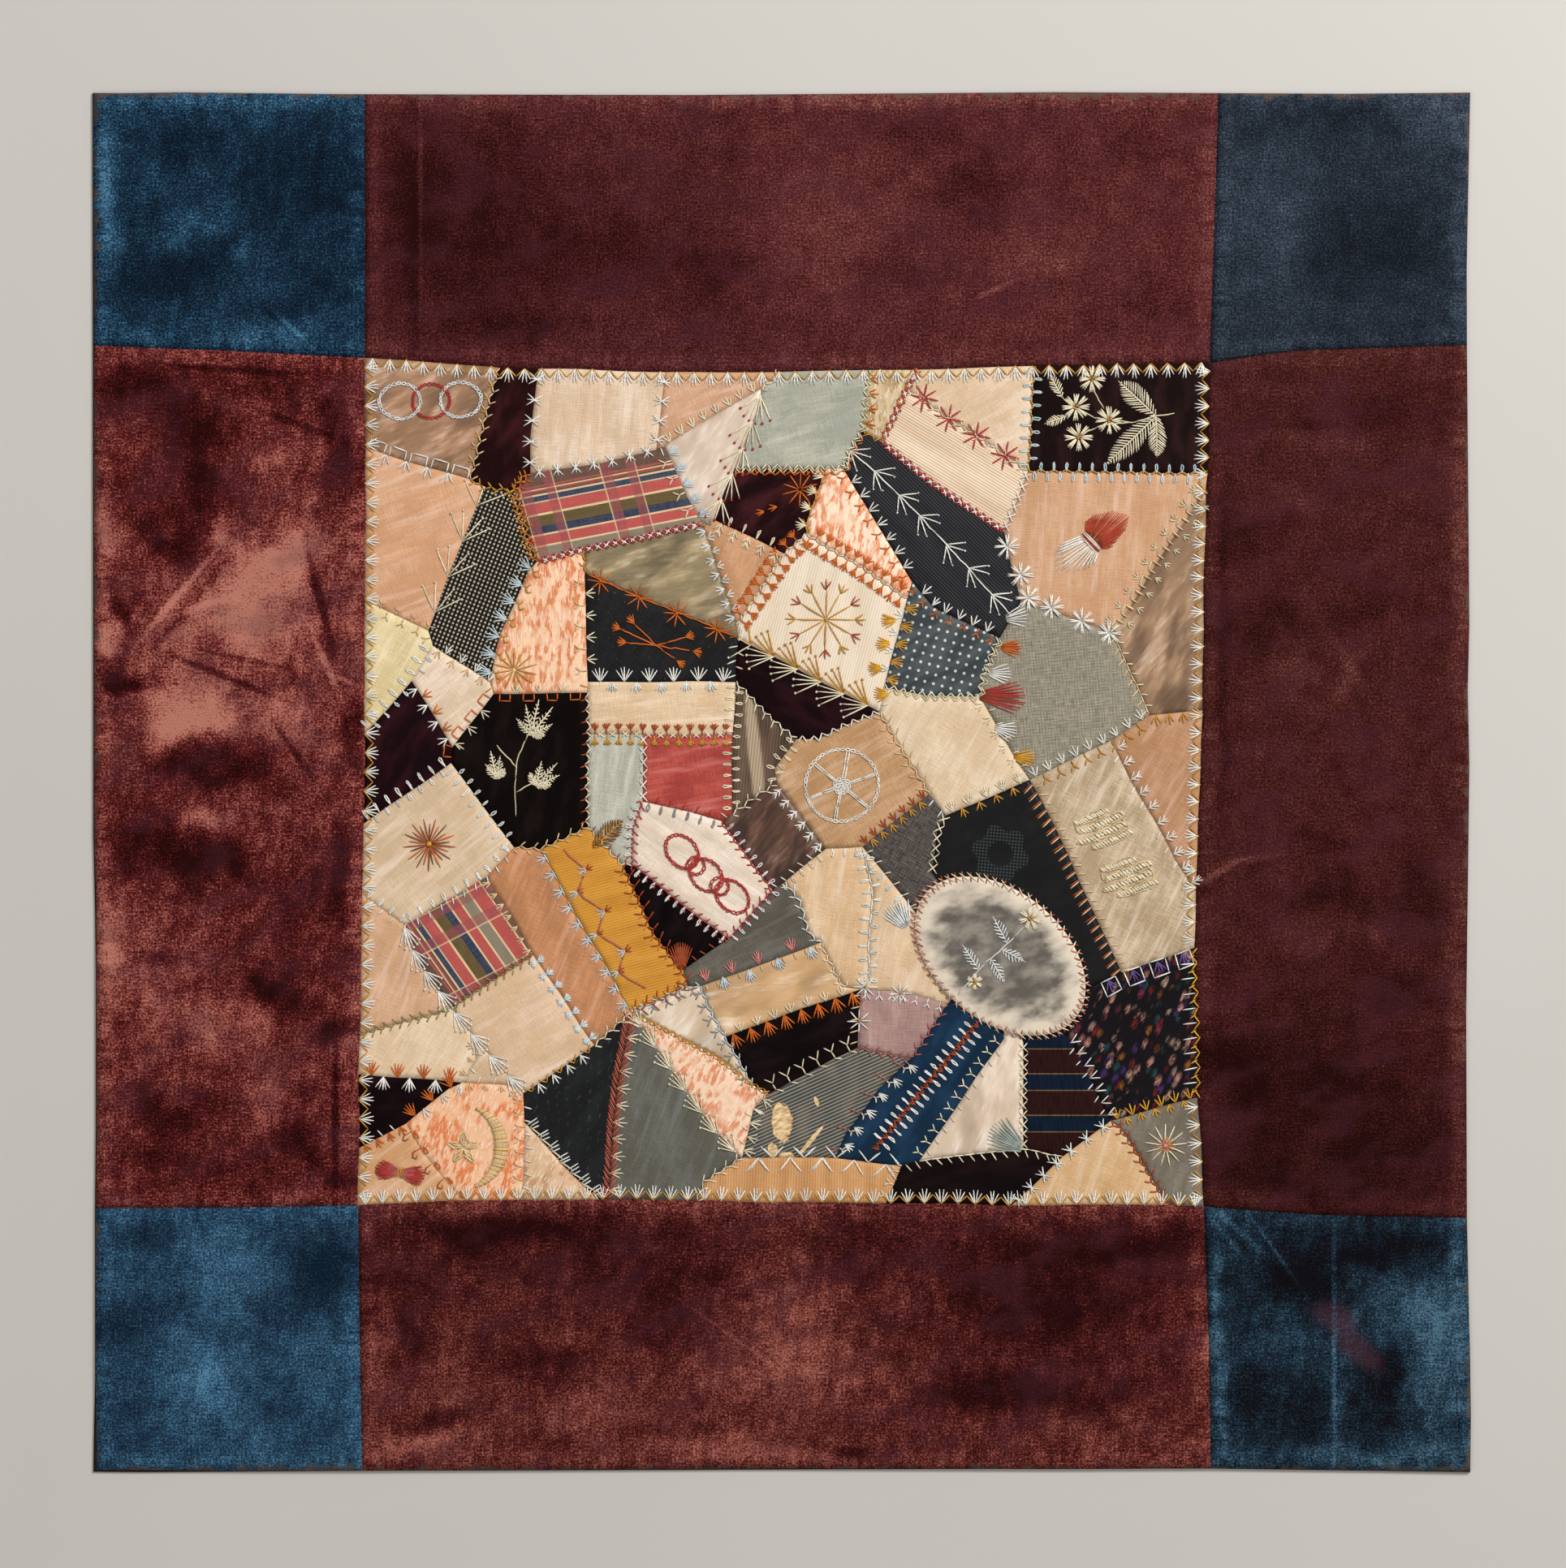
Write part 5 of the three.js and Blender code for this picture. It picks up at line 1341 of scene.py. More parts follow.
SIX = np.linspace(-1, 1, 6)
FOUR = (-1, -0.5, 0.5, 1)
SHAPES = {
    "bar": lambda h, w: [[(0, 0), (w, h)]],
    "vee": lambda h, w: [[(0, 0), (-w / 2, h)], [(0, 0), (w / 2, h)]],
    "fan3": lambda h, w: rays(h, w, 3),
    "fan4": lambda h, w: rays(h, w, 4),
    "fan5": lambda h, w: rays(h, w, 5),
    "spray": lambda h, w: from_root(side_tips(h, w, SIX)),
    "buds": lambda h, w: side_tips(h, w, SIX),
    "prongs": lambda h, w: from_root(side_tips(h, w, FOUR)),
    "prong_buds": lambda h, w: side_tips(h, w, FOUR),
    "plait": lambda h, w: [[(-w / 2, -h / 2), (w / 2, 0)], [(-w / 2, h / 2), (w / 2, 0)]],
    "zig": lambda h, w: [[(-w / 2, -h / 2), (0, h / 2)], [(0, h / 2), (w / 2, -h / 2)]],
    "cross": cross,
    "bundle": lambda h, w: cross(h, w) + [[(0, -h / 2), (0, h / 2)]],
    "wye": lambda h, w: [[(0, 0), (0, h / 2)], [(0, h / 2), (-w / 2, h)], [(0, h / 2), (w / 2, h)]],
    "tulip": lambda h, w: [[(0, 0), (0, h * 0.5)]] + [[(0, h * 0.4), (w / 2 * t, h * (1 - 0.1 * t * t))]
                                                      for t in (-1, -0.5, 0, 0.5, 1)],
    "square": lambda h, w: [[(-w / 2, 0), (-w / 2, h)], [(-w / 2, h), (w / 2, h)], [(w / 2, h), (w / 2, 0)]],
    "line": lambda h, w: [[(-w / 2, h), (w / 2, h)]],
    "petal": loop,
    "chain": lambda h, w: [[(v - w / 2, u) for u, v in line] for line in loop(w, h)],
    "chevron": lambda h, w: [[(-w / 2, h / 2), (0, -h / 2)], [(0, -h / 2), (w / 2, h / 2)]],
    "feather": lambda h, w: [[(-w / 2, -h / 4), (0, h / 4)], [(0, h / 4), (w / 2, -h / 4)],
                             [(0, h / 4), (-w * 0.35, h)], [(w / 2, -h / 4), (w * 0.15, -h)]],
    "fern": lambda h, w: [[(0, 0), (0, h)],
                          [(0, h * 0.15), (-w / 2, h * 0.6)], [(0, h * 0.15), (w / 2, h * 0.6)],
                          [(0, h * 0.5), (-w * 0.35, h)], [(0, h * 0.5), (w * 0.35, h)]],
    "lean": lambda h, w: from_root(leaning_tips(h, w)),
    "lean_buds": leaning_tips,
    "hook": lambda h, w: [[(0, 0), (0, h * 0.7), (w * 0.3, h), (w * 0.6, h * 0.8), (w * 0.45, h * 0.5)]],
}


class Path:
    """A line on the grid that can be read by the distance walked along it."""

    def __init__(self, line):
        self.line = wander(spaced(line, 4))
        steps = np.hypot(*np.diff(self.line, axis=0).T)
        self.walked = np.concatenate([[0], np.cumsum(steps)])
        self.length = float(self.walked[-1])

    def at(self, distance):
        """The grid place at a distance from the start."""
        distance = np.clip(distance, 0, self.length)
        return np.array([np.interp(distance, self.walked, self.line[:, i]) for i in (0, 1)])

    def place(self, u, v):
        """The grid place at u along the line and v to its right."""
        ahead, behind = self.at(u + 5), self.at(u - 5)
        way = (ahead - behind) / max(1e-6, float(np.hypot(*(ahead - behind))))
        return self.at(u) + v * np.array([-way[1], way[0]])


def under_oval(place):
    """Whether the oval or its edging would lie over a stitch at this place."""
    u, v = spin(np.subtract(place, OVAL_CENTRE), -OVAL_TURN)
    return math.hypot(u / OVAL_HALF_LENGTH, v / OVAL_HALF_WIDTH) < OVAL_REACH


def work_seam(line, pitch, units):
    """Repeat stitch units along a line. A unit is 'stitch thread height width along across'."""
    path = Path(line)
    count = max(1, round(path.length / pitch))
    for unit in units.split(","):
        shape, thread, height, width, *shifts = unit.split()
        along, across = [float(s) for s in shifts + ["0"] * (2 - len(shifts))]
        for k in range(count):
            start = (k + 0.5) * path.length / count + along
            if not 1 < start < path.length - 1 or under_oval(path.at(start)):
                continue
            for line in SHAPES[shape](float(height), float(width)):
                thick = KNOT_WIDTH if len(line) == 1 else THREAD_WIDTH
                stitch(thread, [path.place(start + u, v + across) for u, v in line], thick)


print(len(SHAPES), "stitches")

# %% [markdown]
# Each row gives one or more paths over the junctions, parted by commas, the pitch of their unit and
# the unit itself. A negative height lies to the left of the path.

# %% Table of seams
EDGING = "zig gold 11 21 10.5 5, fan4 white 18 15"
PETALS = "petal white 14 3.2, petal silver -9 3.2 8"
CREAM_FEATHER = "feather cream 7 15"
GOLD_FEATHER = "feather gold 7 14"
CHEVRONS = "chevron cream 7 12 0 1, chevron sage 7 12 0 -3"
HERRINGBONE = "cross red 10 12, cross white 7 9 6"
SEAMS = [
    # paths, pitch, units
    ("o1 t1 t2 t3 t4 t5 t6 t7 o2", 21, EDGING),
    ("o2 r1 r2 r3 r4 r5", 21, EDGING),
    ("r5 r6", 19, "bar yellow 8 4, zig yellow 7 19, bar white 17 2 9"),
    ("r6 o3", 21, EDGING),
    ("o3 b1 b2 b3 b4 b5 b6 b7 b8 o4", 21, EDGING),
    ("o4 l1 l2 l3 l4 l5 l6 l7 l8 o1", 23.5, EDGING.replace("11 21 10.5", "11 23.5 11.7")),
    ("t1 a1", 15, "feather tan 8 15, bar gold 7 3"),
    ("l8 a1", 27, "square silver -12 20, fan3 silver 15 16 13"),
    ("t2 e1 e2 a5, t3 a21", 26, "bundle white 19 14"),
    ("a5 e3 a21", 23, "bundle white 15 13"),
    ("a1 a2 a3", 14, GOLD_FEATHER),
    ("a2 a20", 48, "prongs cream -38 50, prong_buds cream -38 50"),
    ("l7 a20 a19", 20, "wye tan 11 9, wye tan -10 9 10"),
    ("a4 e16 e17 a6", 24, "fan5 paleblue 19 18, feather gold 7 12 0 -7"),
    ("a5 a3 a4", 11, "feather orange 9 11, feather gold 7 11 5 4"),
    ("a4 a9 a26, a40 e15 a43", 11, HERRINGBONE),
    ("a41 e14 e13 e12 a42", 16, CREAM_FEATHER),
    ("a39 a40 a41 t6", 13, "zig gold 7 13"),
    ("a9 a10", 15, GOLD_FEATHER),
    ("a10 a11", 27, "wye tan 14 10, fan3 cream -13 12 13"),
    ("a21 a22", 16, "bar white 12 0"),
    ("t4 a23", 14, CREAM_FEATHER),
    ("a23 e4 a22", 17, "fan3 cream 14 11"),
    ("a22 e9 e8 a26", 20, "fan5 paleblue -15 15, wye cream 15 12 9"),
    ("a23 e5 e6 a24 e7 a25", 36, "spray cream 36 40 -10 0, buds red 36 40 -10 0"),
    ("t6 a41 a40", 11, HERRINGBONE),
    ("t5 e10 a39 e11 a38 a37 a24", 13, CHEVRONS),
    ("a39 e11 a38 a37 a24", 12, "zig orange 5 12 0 -6"),
    ("t5 e10 a39", 21, "fan3 orange -12 12 0 -4"),
    ("a37 e18 e19 a35", 20, "fan5 cream 14 14, feather gold 6 20"),
    ("a24 a37", 15, "bar orange 8 3"),
    ("a25 a36", 18, "fern cream 17 13, petal cream -12 3.2 9"),
    ("a38 a34, a34 e23 a50", 20, "wye orange 12 10, fan3 white -14 12 10"),
    ("a27 a36 a35, a35 e20 a33", 14, "tulip orange 17 12, tulip orange -16 12 7, zig cream 3 14"),
    ("a26 e25 a27", 19, "fan3 silver 13 12, fan3 silver -10 11 9"),
    ("a25 a26", 12, "chevron grey 8 9"),
    ("t7 a42, a42 r1", 16, "petal paleblue 12 3.2, petal paleblue -11 3.2 8, zig gold 5 16"),
    ("a42 a43", 13, "cross white 12 12"),
    ("r2 a45", 22, "square sage 11 12 0 -5, fan3 sage 9 10 0 9, fan3 sage -9 9 11 -8, bar tan 12 0 -6 -6"),
    ("a45 a46", 14, "bar tan 12 6, line tan 0 14, bar cream -8 4 7"),
    ("a46 r3", 16, "fan3 gold 14 11"),
    ("a46 a47 a48", 18, "fan3 white 15 12, wye gold -14 11 9"),
    ("a50 e29 a49, a49 e30 a32", 12, CHEVRONS),
    ("a48 a52", 24, "fan5 cream 15 15, fan3 gold -12 12 12"),
    ("a31 a51", 18, "feather tan 11 18"),
    ("a51 a53", 16, "fan3 rust 12 10, fan3 gold -12 10 8"),
    ("a49 a48", 20, "fan3 cream 13 11, bar cream -9 2 10"),
    ("a48 e41 a100", 12, "bar rust 15 3, bar tan 14 4 1.6, bar tan -11 5 4"),
    ("a51 a52", 15, "bar silver 10 3"),
    ("a52 e43 a74", 13, "cross cream 11 12"),
    ("a53 e44 a73", 16, "petal silver 11 3.2, bar cream -8 3"),
    ("a47 e45 e46 e47 r4", 22, "fern white -15 13, bar white 9 5 11"),
    ("a19 a18, a18 e31 l6, a16 l5, a16 a15", 16, PETALS),
    ("a19 a6", 19, "fan3 tan 12 10, fan3 white -13 10 9"),
    ("a6 a7", 12, "bar gold 9 3"),
    ("a18 a17", 25, "fan3 white 14 12, fan3 orange -14 12 12"),
    ("a7 a17 a16", 27, "square orange 10 13, fan3 cream -13 12 13"),
    ("a7 a8", 28, "square orange 9 13, fan3 cream -13 13 14"),
    ("a8 a12 a13", 14, "bar rust 9 3, zig cream 6 14"),
    ("a8 a11", 15, "bar gold -9 2"),
    ("a11 a29", 30, "fan5 white -18 20, fan5 silver 13 14 15"),
    ("a13 a14 a15", 17, "feather tan 8 17"),
    ("a12 a59 a60", 15, "tulip rust -14 10, cross cream 7 8 7, tulip gold 14 10"),
    ("a29 a60 a56", 13, "petal cream 11 3.2, petal cream -10 3.2 6"),
    ("a59 a58", 13, "cross white 10 12"),
    ("a30 e37 a55", 13, "petal cream 11 3.2, petal cream -10 3.2 6"),
    ("a55 e38 a56", 16, "feather cream 8 16"),
    ("a29 e34 e35 e36 a30", 15, "bar cream 10 5, zig cream 5 15"),
    ("a58 e32 a57", 17, "petal grey 11 3.2, bar red -11 3 8"),
    ("a57 a63 a65 a61, a61 e33 a58", 12, "feather red 7 12, petal silver -10 3.2 6"),
    ("a61 a62 a13", 14, "bar rust 8 2, zig cream 5 14"),
    ("a56 a57", 12, "bar cream 9 3"),
    ("a31 e39 e40 a30", 13, "zig white 8 13"),
    ("a31 a32", 14, "bar white 9 3"),
    ("a32 a33", 24, "fan5 gold 16 16, fan3 white -12 11 12"),
    ("a28 e28 a31", 33,
     "lean cream -34 34, lean_buds cream -34 34, lean gold -34 -32, lean_buds gold -34 -32"),
    ("a28 e27 a29", 17, "bar white 11 4, bar cream -9 3 8"),
    ("a27 a28", 12, "bar orange 12 2"),
    ("a55 a54", 18, "fern white 14 12"),
    ("a54 a53", 15, "petal white 10 3.2"),
    ("a14 e48 a68", 23, "fan3 paleblue 14 14, line paleblue 0 16"),
    ("a62 e49 a66 a67 e50 a68", 15, "feather rust 12 15, bar gold 8 3"),
    ("a15 a86 a87 l4", 17, "petal white 11 3.2, bar silver -9 3 8"),
    ("a86 a85", 16, "fan3 tan 11 9"),
    ("a87 e51 a88, a88 a89 a84", 31, "spray white 28 25 -12, buds white 28 25 -12"),
    ("l3 a88, a88 a85", 12, "feather olive 7 12"),
    ("a85 a83", 20, "fan5 silver 10 11, fan5 silver -10 11, fan4 paleblue 9 8, fan4 paleblue -9 8"),
    ("l2 a90", 30, "fan5 orange -18 17, fan5 white 17 18 15"),
    ("a90 e70 a92", 30, "fan5 orange 18 17, fan3 white -13 12 15"),
    ("a89 e61 a90 e71 a84", 20, "fan3 tan 10 9, bar cream -9 3 10"),
    ("a92 l1", 16, "fan3 orange -12 10, bar white 8 2 8"),
    ("a83 a84", 20, "chevron gold 8 14, fan3 white -14 12 10"),
    ("a84 a93 b7", 17, "wye tan 12 9, bar white -10 3 8"),
    ("a93 b6", 20, "bar white -15 3 -5, bar white -13 3 -1, bar white -11 3 3, bar cream -4 18 0 -1"),
    ("a68 e73 b5", 8, "plait rose 17 12, plait rust 15 11 4"),
    ("a68 e73 b5", 22, "fan3 cream -17 12"),
    ("a68 a83", 17, "feather cream 8 17"),
    ("a64 e52 e53 a70", 16, "feather silver 8 16"),
    ("a54 a64 a63", 13, "bar silver 9 3, petal cream -9 3.2 6"),
    ("a65 a66", 15, "bar rust 9 3"),
    ("a70 e57 a71", 15, "feather cream 7 15"),
    ("a53 e54 e55 e56 a72", 17, "petal silver 12 3.2, petal white -11 3.2 8, line silver 0 17"),
    ("a69 a70", 15, "bar tan 8 0"),
    ("a78 a72", 22, "fan5 orange 19 18, fan3 cream -13 12 11"),
    ("a80 a77", 22, "wye cream -18 14, bar cream 5 8"),
    ("a72 a77", 14, "bar tan 10 3"),
    ("a72 e58 a75", 16, "wye white 12 10"),
    ("a75 a76 a77", 15, "feather rose 7 15"),
    ("a68 e74 e75 e76 a82", 33, "spray cream -27 24 6, buds cream -27 24 6"),
    ("a68 e64 e63 a79 a80", 10, "cross gold 6 9, bar cream 8 3"),
    ("a68 e50 a67 a69, a69 e62 a78 a79", 17, "wye grey 12 10, feather paleblue 5 17"),
    ("a82 e67 a80", 17, "fan3 cream 15 12, bar cream -9 4 8"),
    ("a94 e66 e65 a76", 24, "bar rose -16 -5, wye cream 7 10, fan4 white 13 12 7 4"),
    ("a82 a94 a95", 37, "vee white 18 30, vee white 16 24 1, vee white -14 28 18, vee white -12 22 18"),
    ("a82 e77 b4", 17, "feather cream 8 17"),
    ("a95 b3", 16, "wye cream 12 10"),
    ("h0 e42 a100 r5", 31, "square white 19 20, line white 0 20, fan4 purple 16 15 0 1"),
    ("e60 e59 a99", 18, "vee white -12 10, bar white 8 3 9"),
    ("a99 r6", 20, "fan3 yellow -15 13, fan3 yellow 11 11 10"),
    ("e60 h0", 13, "bar orange 8 3"),
    ("e69 a97", 12, "cross cream 10 10"),
    ("e68 a96", 17, "wye cream 13 10, bar cream -8 3 8"),
    ("a96 a97 a98", 14, "bar cream 9 6, line cream 0 14"),
    ("a95 a96", 14, "bar cream 10 4"),
    ("a98 b2", 24, "bundle silver 18 13"),
    ("a98 a99", 24, "bundle silver 17 13"),
    ("a99 e78 e79 b1", 14, "feather rust 9 14"),
    ("a92 e72 b8", 22, "hook rust 13 12, chain orange 6 10 6 -4"),
]
for paths, pitch, units in SEAMS:
    for names in paths.split(", "):
        work_seam(seam(names), pitch, units)
print(sum(len(lines) for lines in strokes.values()), "strokes on the seams")

# %% [markdown]
# ## Motifs
# Small embroidered figures stand in the larger patches: flowers, stars, wheels, shells, a moon.
# Each is made of the same strokes. A figure is worked in its own frame, turned and placed.

# %% Helpers for motifs
def work(thread, lines, place=(0, 0), turn=0, width=THREAD_WIDTH):
    """Strokes given about a place, turned by degrees clockwise as seen from above."""
    for line in lines:
        stitch(thread, wander(place + spin(line, turn)), width)


def clock(radius, turn):
    """The end of a clock's hand, by its length and its turn in radians from the top."""
    return radius * math.sin(turn), -radius * math.cos(turn)


def star(thread, place, radius, arms, inner=0.0, turn=0, width=THREAD_WIDTH):
    """Strokes that point away from a place on all sides."""
    turns = [2 * math.pi * k / arms for k in range(arms)]
    work(thread, [[clock(inner, t), clock(radius, t)] for t in turns], place, turn, width)


def knot(thread, place, width=KNOT_WIDTH):
    """One raised knot."""
    work(thread, [[(0, 0)]], place, 0, width)


def bloom(thread, centre_thread, place, radius, petals=8):
    """Petals of three strokes each round a knotted centre."""
    for k in range(petals):
        for lean in (-0.16, 0, 0.16):
            t = 2 * math.pi * k / petals + lean
            work(thread, [[clock(radius * 0.2, t), clock(radius, t)]], place, 0, PADDED)
    for t in range(3):
        knot(centre_thread, (place[0] + 1.8 * math.sin(2.1 * t), place[1] + 1.8 * math.cos(2.1 * t)))


def leaf(thread, base, tip, width, rows=9):
    """A leaf of slanted strokes on both sides of its vein."""
    base, tip = np.array(base, float), np.array(tip, float)
    way = tip - base
    length = float(np.hypot(*way))
    turn = math.degrees(math.atan2(way[1], way[0]))
    lines = []
    for k in range(rows):
        u = length * (k + 0.3) / (rows + 0.6)
        reach = width / 2 * math.sin(math.pi * min(1, (k + 1) / (rows + 0.5)) ** 0.8) + 0.8
        lines += [[(u, 0), (u + reach * 0.9, reach)], [(u, 0), (u + reach * 0.9, -reach)]]
    work(thread, lines + [[(0, 0), (length, 0)]], base, turn)


def curve(thread, points, width=THREAD_WIDTH, step=5):
    """A couched line through places, with rounded corners."""
    line = spaced(points, 3)
    for _ in range(3):
        line[1:-1] = (line[:-2] + 2 * line[1:-1] + line[2:]) / 4
    line = line[::max(1, round(step / 3))] if len(line) > 6 else line
    for start in range(0, len(line) - 1, 8):
        stitch(thread, wander(line[start:start + 9]), width)


def ring(thread, place, radius, width=THREAD_WIDTH, squash=1.0, turn=0, count=20):
    """A closed ring of small chained loops."""
    pitch = 2 * math.pi * radius / count
    for k in range(count):
        t = 2 * math.pi * k / count
        at = place + spin((radius * math.cos(t), radius * squash * math.sin(t)), turn)
        work(thread, SHAPES["chain"](4.0, pitch * 1.1), at, math.degrees(t) + 90 + turn, width)


# %% Stars, ferns and wheels
for spot in ((1138, 490), (1169, 515), (1202, 536), (1238, 562)):
    star("red", spot, 18, 8, 1, 12, 1.25)
    knot("pink", spot)
for spot in ((740, 717), (787, 735), (834, 756), (884, 775)):
    star("orange", spot, 17, 8, 1, 8)
    knot("orange", spot)
curve("orange", [(724, 708), (787, 735), (905, 783)])
for spot in ((1240, 675), (1257, 710), (1266, 738), (1296, 750), (1333, 766), (1366, 780)):
    for lean in (-5, 5):
        star("white", spot, 16, 8, 1, lean, 1.1)
star("orange", (985, 603), 21, 10, 2)
for spot in ((942, 630), (958, 624)):
    work("orange", SHAPES["fan3"](12, 9), spot, 75)
FERN = [(1047, 555), (1077, 580), (1107, 611), (1132, 637),
        (1164, 670), (1194, 699), (1221, 733), (1245, 760)]
curve("white", FERN, step=9)
for spot in FERN[:-1]:
    for turn, length in ((-95, 24), (-72, 26), (-20, 26), (5, 22)):
        work("white", [[(0, 0), (0, length)]], spot, turn)
        knot("white", spot + spin((0, length), turn), 1.5)
DAISY, WHEEL, BURST, ROSETTE = (1017, 763), (1037, 968), (528, 1040), (1435, 1412)
for k in range(12):
    t = 30 * k
    reach = np.add(DAISY, clock(36, math.radians(t)))
    work("gold", [[(0, -2), (0, -36)]], DAISY, t)
    work("gold" if k % 2 else "rust", SHAPES["fan3"](13, 13), reach, t + 180)
knot("gold", DAISY, 2.4)
for spot in ((1095, 764), (1088, 793), (1078, 824), (1085, 855)):
    work("yellow", rays(18, 18, 7, 0.1), (spot[0] + 8, spot[1]), 85)
ring("white", WHEEL, 45, 0.8, count=44)
for radius, count in ((9, 9), (5, 6), (1.5, 3)):
    ring("white", WHEEL, radius, count=count)
for k in range(6):
    for side in (-1.2, 1.2):
        work("white", [[(side, -8), (side, -26)], [(side, -26), (side, -44)]], WHEEL, 60 * k + 10)
for k in range(26):
    work(("brown", "rust", "orange")[k % 3], [[(0, -3), (0, -25 - 7 * (k % 2))]], BURST, 360 * k / 26)
knot("yellow", BURST, 3.4)
star("gold", (635, 825), 27, 14, 2)
star("cream", ROSETTE, 26, 13, 5)
star("gold", ROSETTE, 12, 10, 2, 9)
star("pink", ROSETTE, 9, 9, 1, 20)
knot("pink", ROSETTE, 3.6)

# %% Sprays
stems = [
    ("sage", [(1446, 511), (1424, 513), (1396, 521), (1366, 519)]),
    ("sage", [(1396, 521), (1360, 524), (1335, 535)]),
    ("sage", [(1360, 505), (1350, 488), (1345, 471)]),
    ("sage", [(1350, 517), (1335, 508), (1318, 500), (1306, 488)]),
    ("sage", [(635, 1005), (634, 970), (636, 937), (647, 912), (662, 889)]),
    ("sage", [(636, 945), (622, 930), (611, 918)]),
    ("sage", [(636, 975), (655, 965), (672, 951)]),
    ("orange", [(765, 776), (809, 794), (854, 803)]),
    ("orange", [(772, 792), (809, 794), (845, 785)]),
    ("orange", [(782, 768), (809, 794), (834, 814)]),
]
for thread, points in stems:
    curve(thread, points, 0.9)
for spot in ((1345, 468), (1326, 503), (1366, 519), (1329, 540)):
    bloom("cream", "gold", spot, 17, 8)
leaf("cream", (1308, 490), (1293, 462), 13, 8)
leaf("cream", (1314, 514), (1287, 524), 12, 8)
leaf("cream", (1424, 513), (1379, 470), 27, 16)
leaf("cream", (1424, 513), (1362, 574), 26, 20)
leaf("cream", (1425, 514), (1426, 563), 21, 15)
HEADS = (((654, 906), ((636, 884), (648, 868), (664, 862), (681, 872), (680, 893), (672, 906))),
         ((612, 960), ((597, 942), (603, 925), (615, 931), (621, 947))),
         ((660, 968), ((652, 951), (668, 938), (687, 940), (690, 955), (680, 966))))
for base, tips in HEADS:
    for tip in tips:
        leaf("cream", base, tip, 9, 7)
for spot in ((765, 776), (782, 768), (772, 792), (845, 785), (854, 803), (834, 814)):
    way = math.degrees(math.atan2(spot[0] - 809, 794 - spot[1]))
    work("orange", SHAPES["fan5"](12, 12), spot, way + 180)
leaf("brown", (730, 1044), (768, 1010), 24, 12)
leaf("gold", (730, 1044), (768, 1010), 18, 9)

# %% Shells, leaves and small figures
fans = [
    # thread, darker thread laid between its rays as painted shade in the gaps, place, turn, length, spread
    ("orange", "rust", (1232, 798), -85, 26, 22), ("white", "grey", (1218, 829), -85, 28, 24),
    ("red", "brown", (1206, 856), -85, 58, 40), ("white", "grey", (1226, 896), -75, 28, 24),
    ("yellow", "gold", (1250, 931), -85, 26, 22), ("white", "grey", (1238, 763), -100, 28, 26),
    ("rust", "brown", (839, 1195), 180, 34, 28), ("silver", "grey", (1116, 1142), 150, 34, 38),
    ("moss", "grey", (1259, 1414), 121, 46, 42),
]
for thread, between, spot, turn, length, spread in fans:
    count = 7 if length < 30 else 11
    work(thread, rays(length, spread, count, 0.12), spot, turn)
    # Thin darker strokes between the rays are painted shade in the gaps.
    work(between, rays(length * 0.86, spread * (1 - 1 / count), count - 1, 0.12), spot, turn, 0.6)
for spot in ((868, 1202), (901, 1192), (934, 1180), (975, 1164)):
    work("pink", rays(16, 15, 5), (spot[0] + 2, spot[1] + 7), 162)
for spot in ((892, 1210), (924, 1200), (960, 1186), (1000, 1172)):
    work("paleblue", rays(16, 14, 5), (spot[0] - 2, spot[1] - 6), -18)
for spot in ((1065, 1215), (1108, 1225), (1058, 1257)):
    star("white", spot, 15, 8, 2)
    knot("gold", spot)
TULIP_HEAD = ((-1, -0.6, -0.2, 0.2, 0.6, 1), (-25, -23, -12, 6, 18, 21), (-9, -24, -42, -53, -37, -9))
TULIP_FOOT = ((-1, -0.5, 0, 0.5, 1), (-23, -20, -2, 15, 22), (28, 40, 53, 36, 14))
for k in range(34):
    t = 2 * k / 33 - 1
    tip = (np.interp(t, *TULIP_HEAD[:2]), np.interp(t, TULIP_HEAD[0], TULIP_HEAD[2]))
    work(("rust", "rust", "red")[k % 3], [[(14 * t, 0), tip]], (1347, 666), 49, 1.0)
for k in range(15):
    t = 2 * k / 14 - 1
    tip = (np.interp(t, *TULIP_FOOT[:2]), np.interp(t, TULIP_FOOT[0], TULIP_FOOT[2]))
    work("white", [[(14 * t, 0), tip]], (1343, 670), 49, 1.0)
for row, thread in enumerate(("white", "white", "rust", "rust", "white")):
    work(thread, [[(-15, 1.7 * row - 2), (15, 1.7 * row - 2)]], (1345, 667), 49, 1.0)
MOON, STAR = (575, 1414), (572, 1415)
for k in range(120):
    t = math.radians(-74 + 148 * k / 119)
    thick = 15 * math.cos(t * 1.1)
    outer = (MOON[0] + 50 * math.cos(t), MOON[1] + 50 * math.sin(t))
    inner = (outer[0] - thick * math.cos(t * 0.6) - 2, outer[1] - thick * math.sin(t * 0.6))
    stitch("gold" if k % 5 == 0 else "tan", wander([inner, outer]), 1.3)
tips = [np.add(STAR, clock(r, math.pi * k / 5)) for k, r in enumerate((21, 8.5) * 5)]
for a, b in zip(tips, tips[1:] + tips[:1]):
    stitch("tan", wander([a, b]), 1.3)
for lean in (-14, 0, 14):
    star("tan", STAR, 16, 5, 0, lean, 1.3)
BOW = (493, 1445)
for turn in (100, -80):
    work("red", rays(31, 25, 13, 0.1), BOW, turn)
    work("rose", rays(22, 22, 12, 0.1), BOW, turn)
for offset in (-3, 0, 3):
    work("gold", [[(offset, -7), (offset, 7)]], BOW, 10)

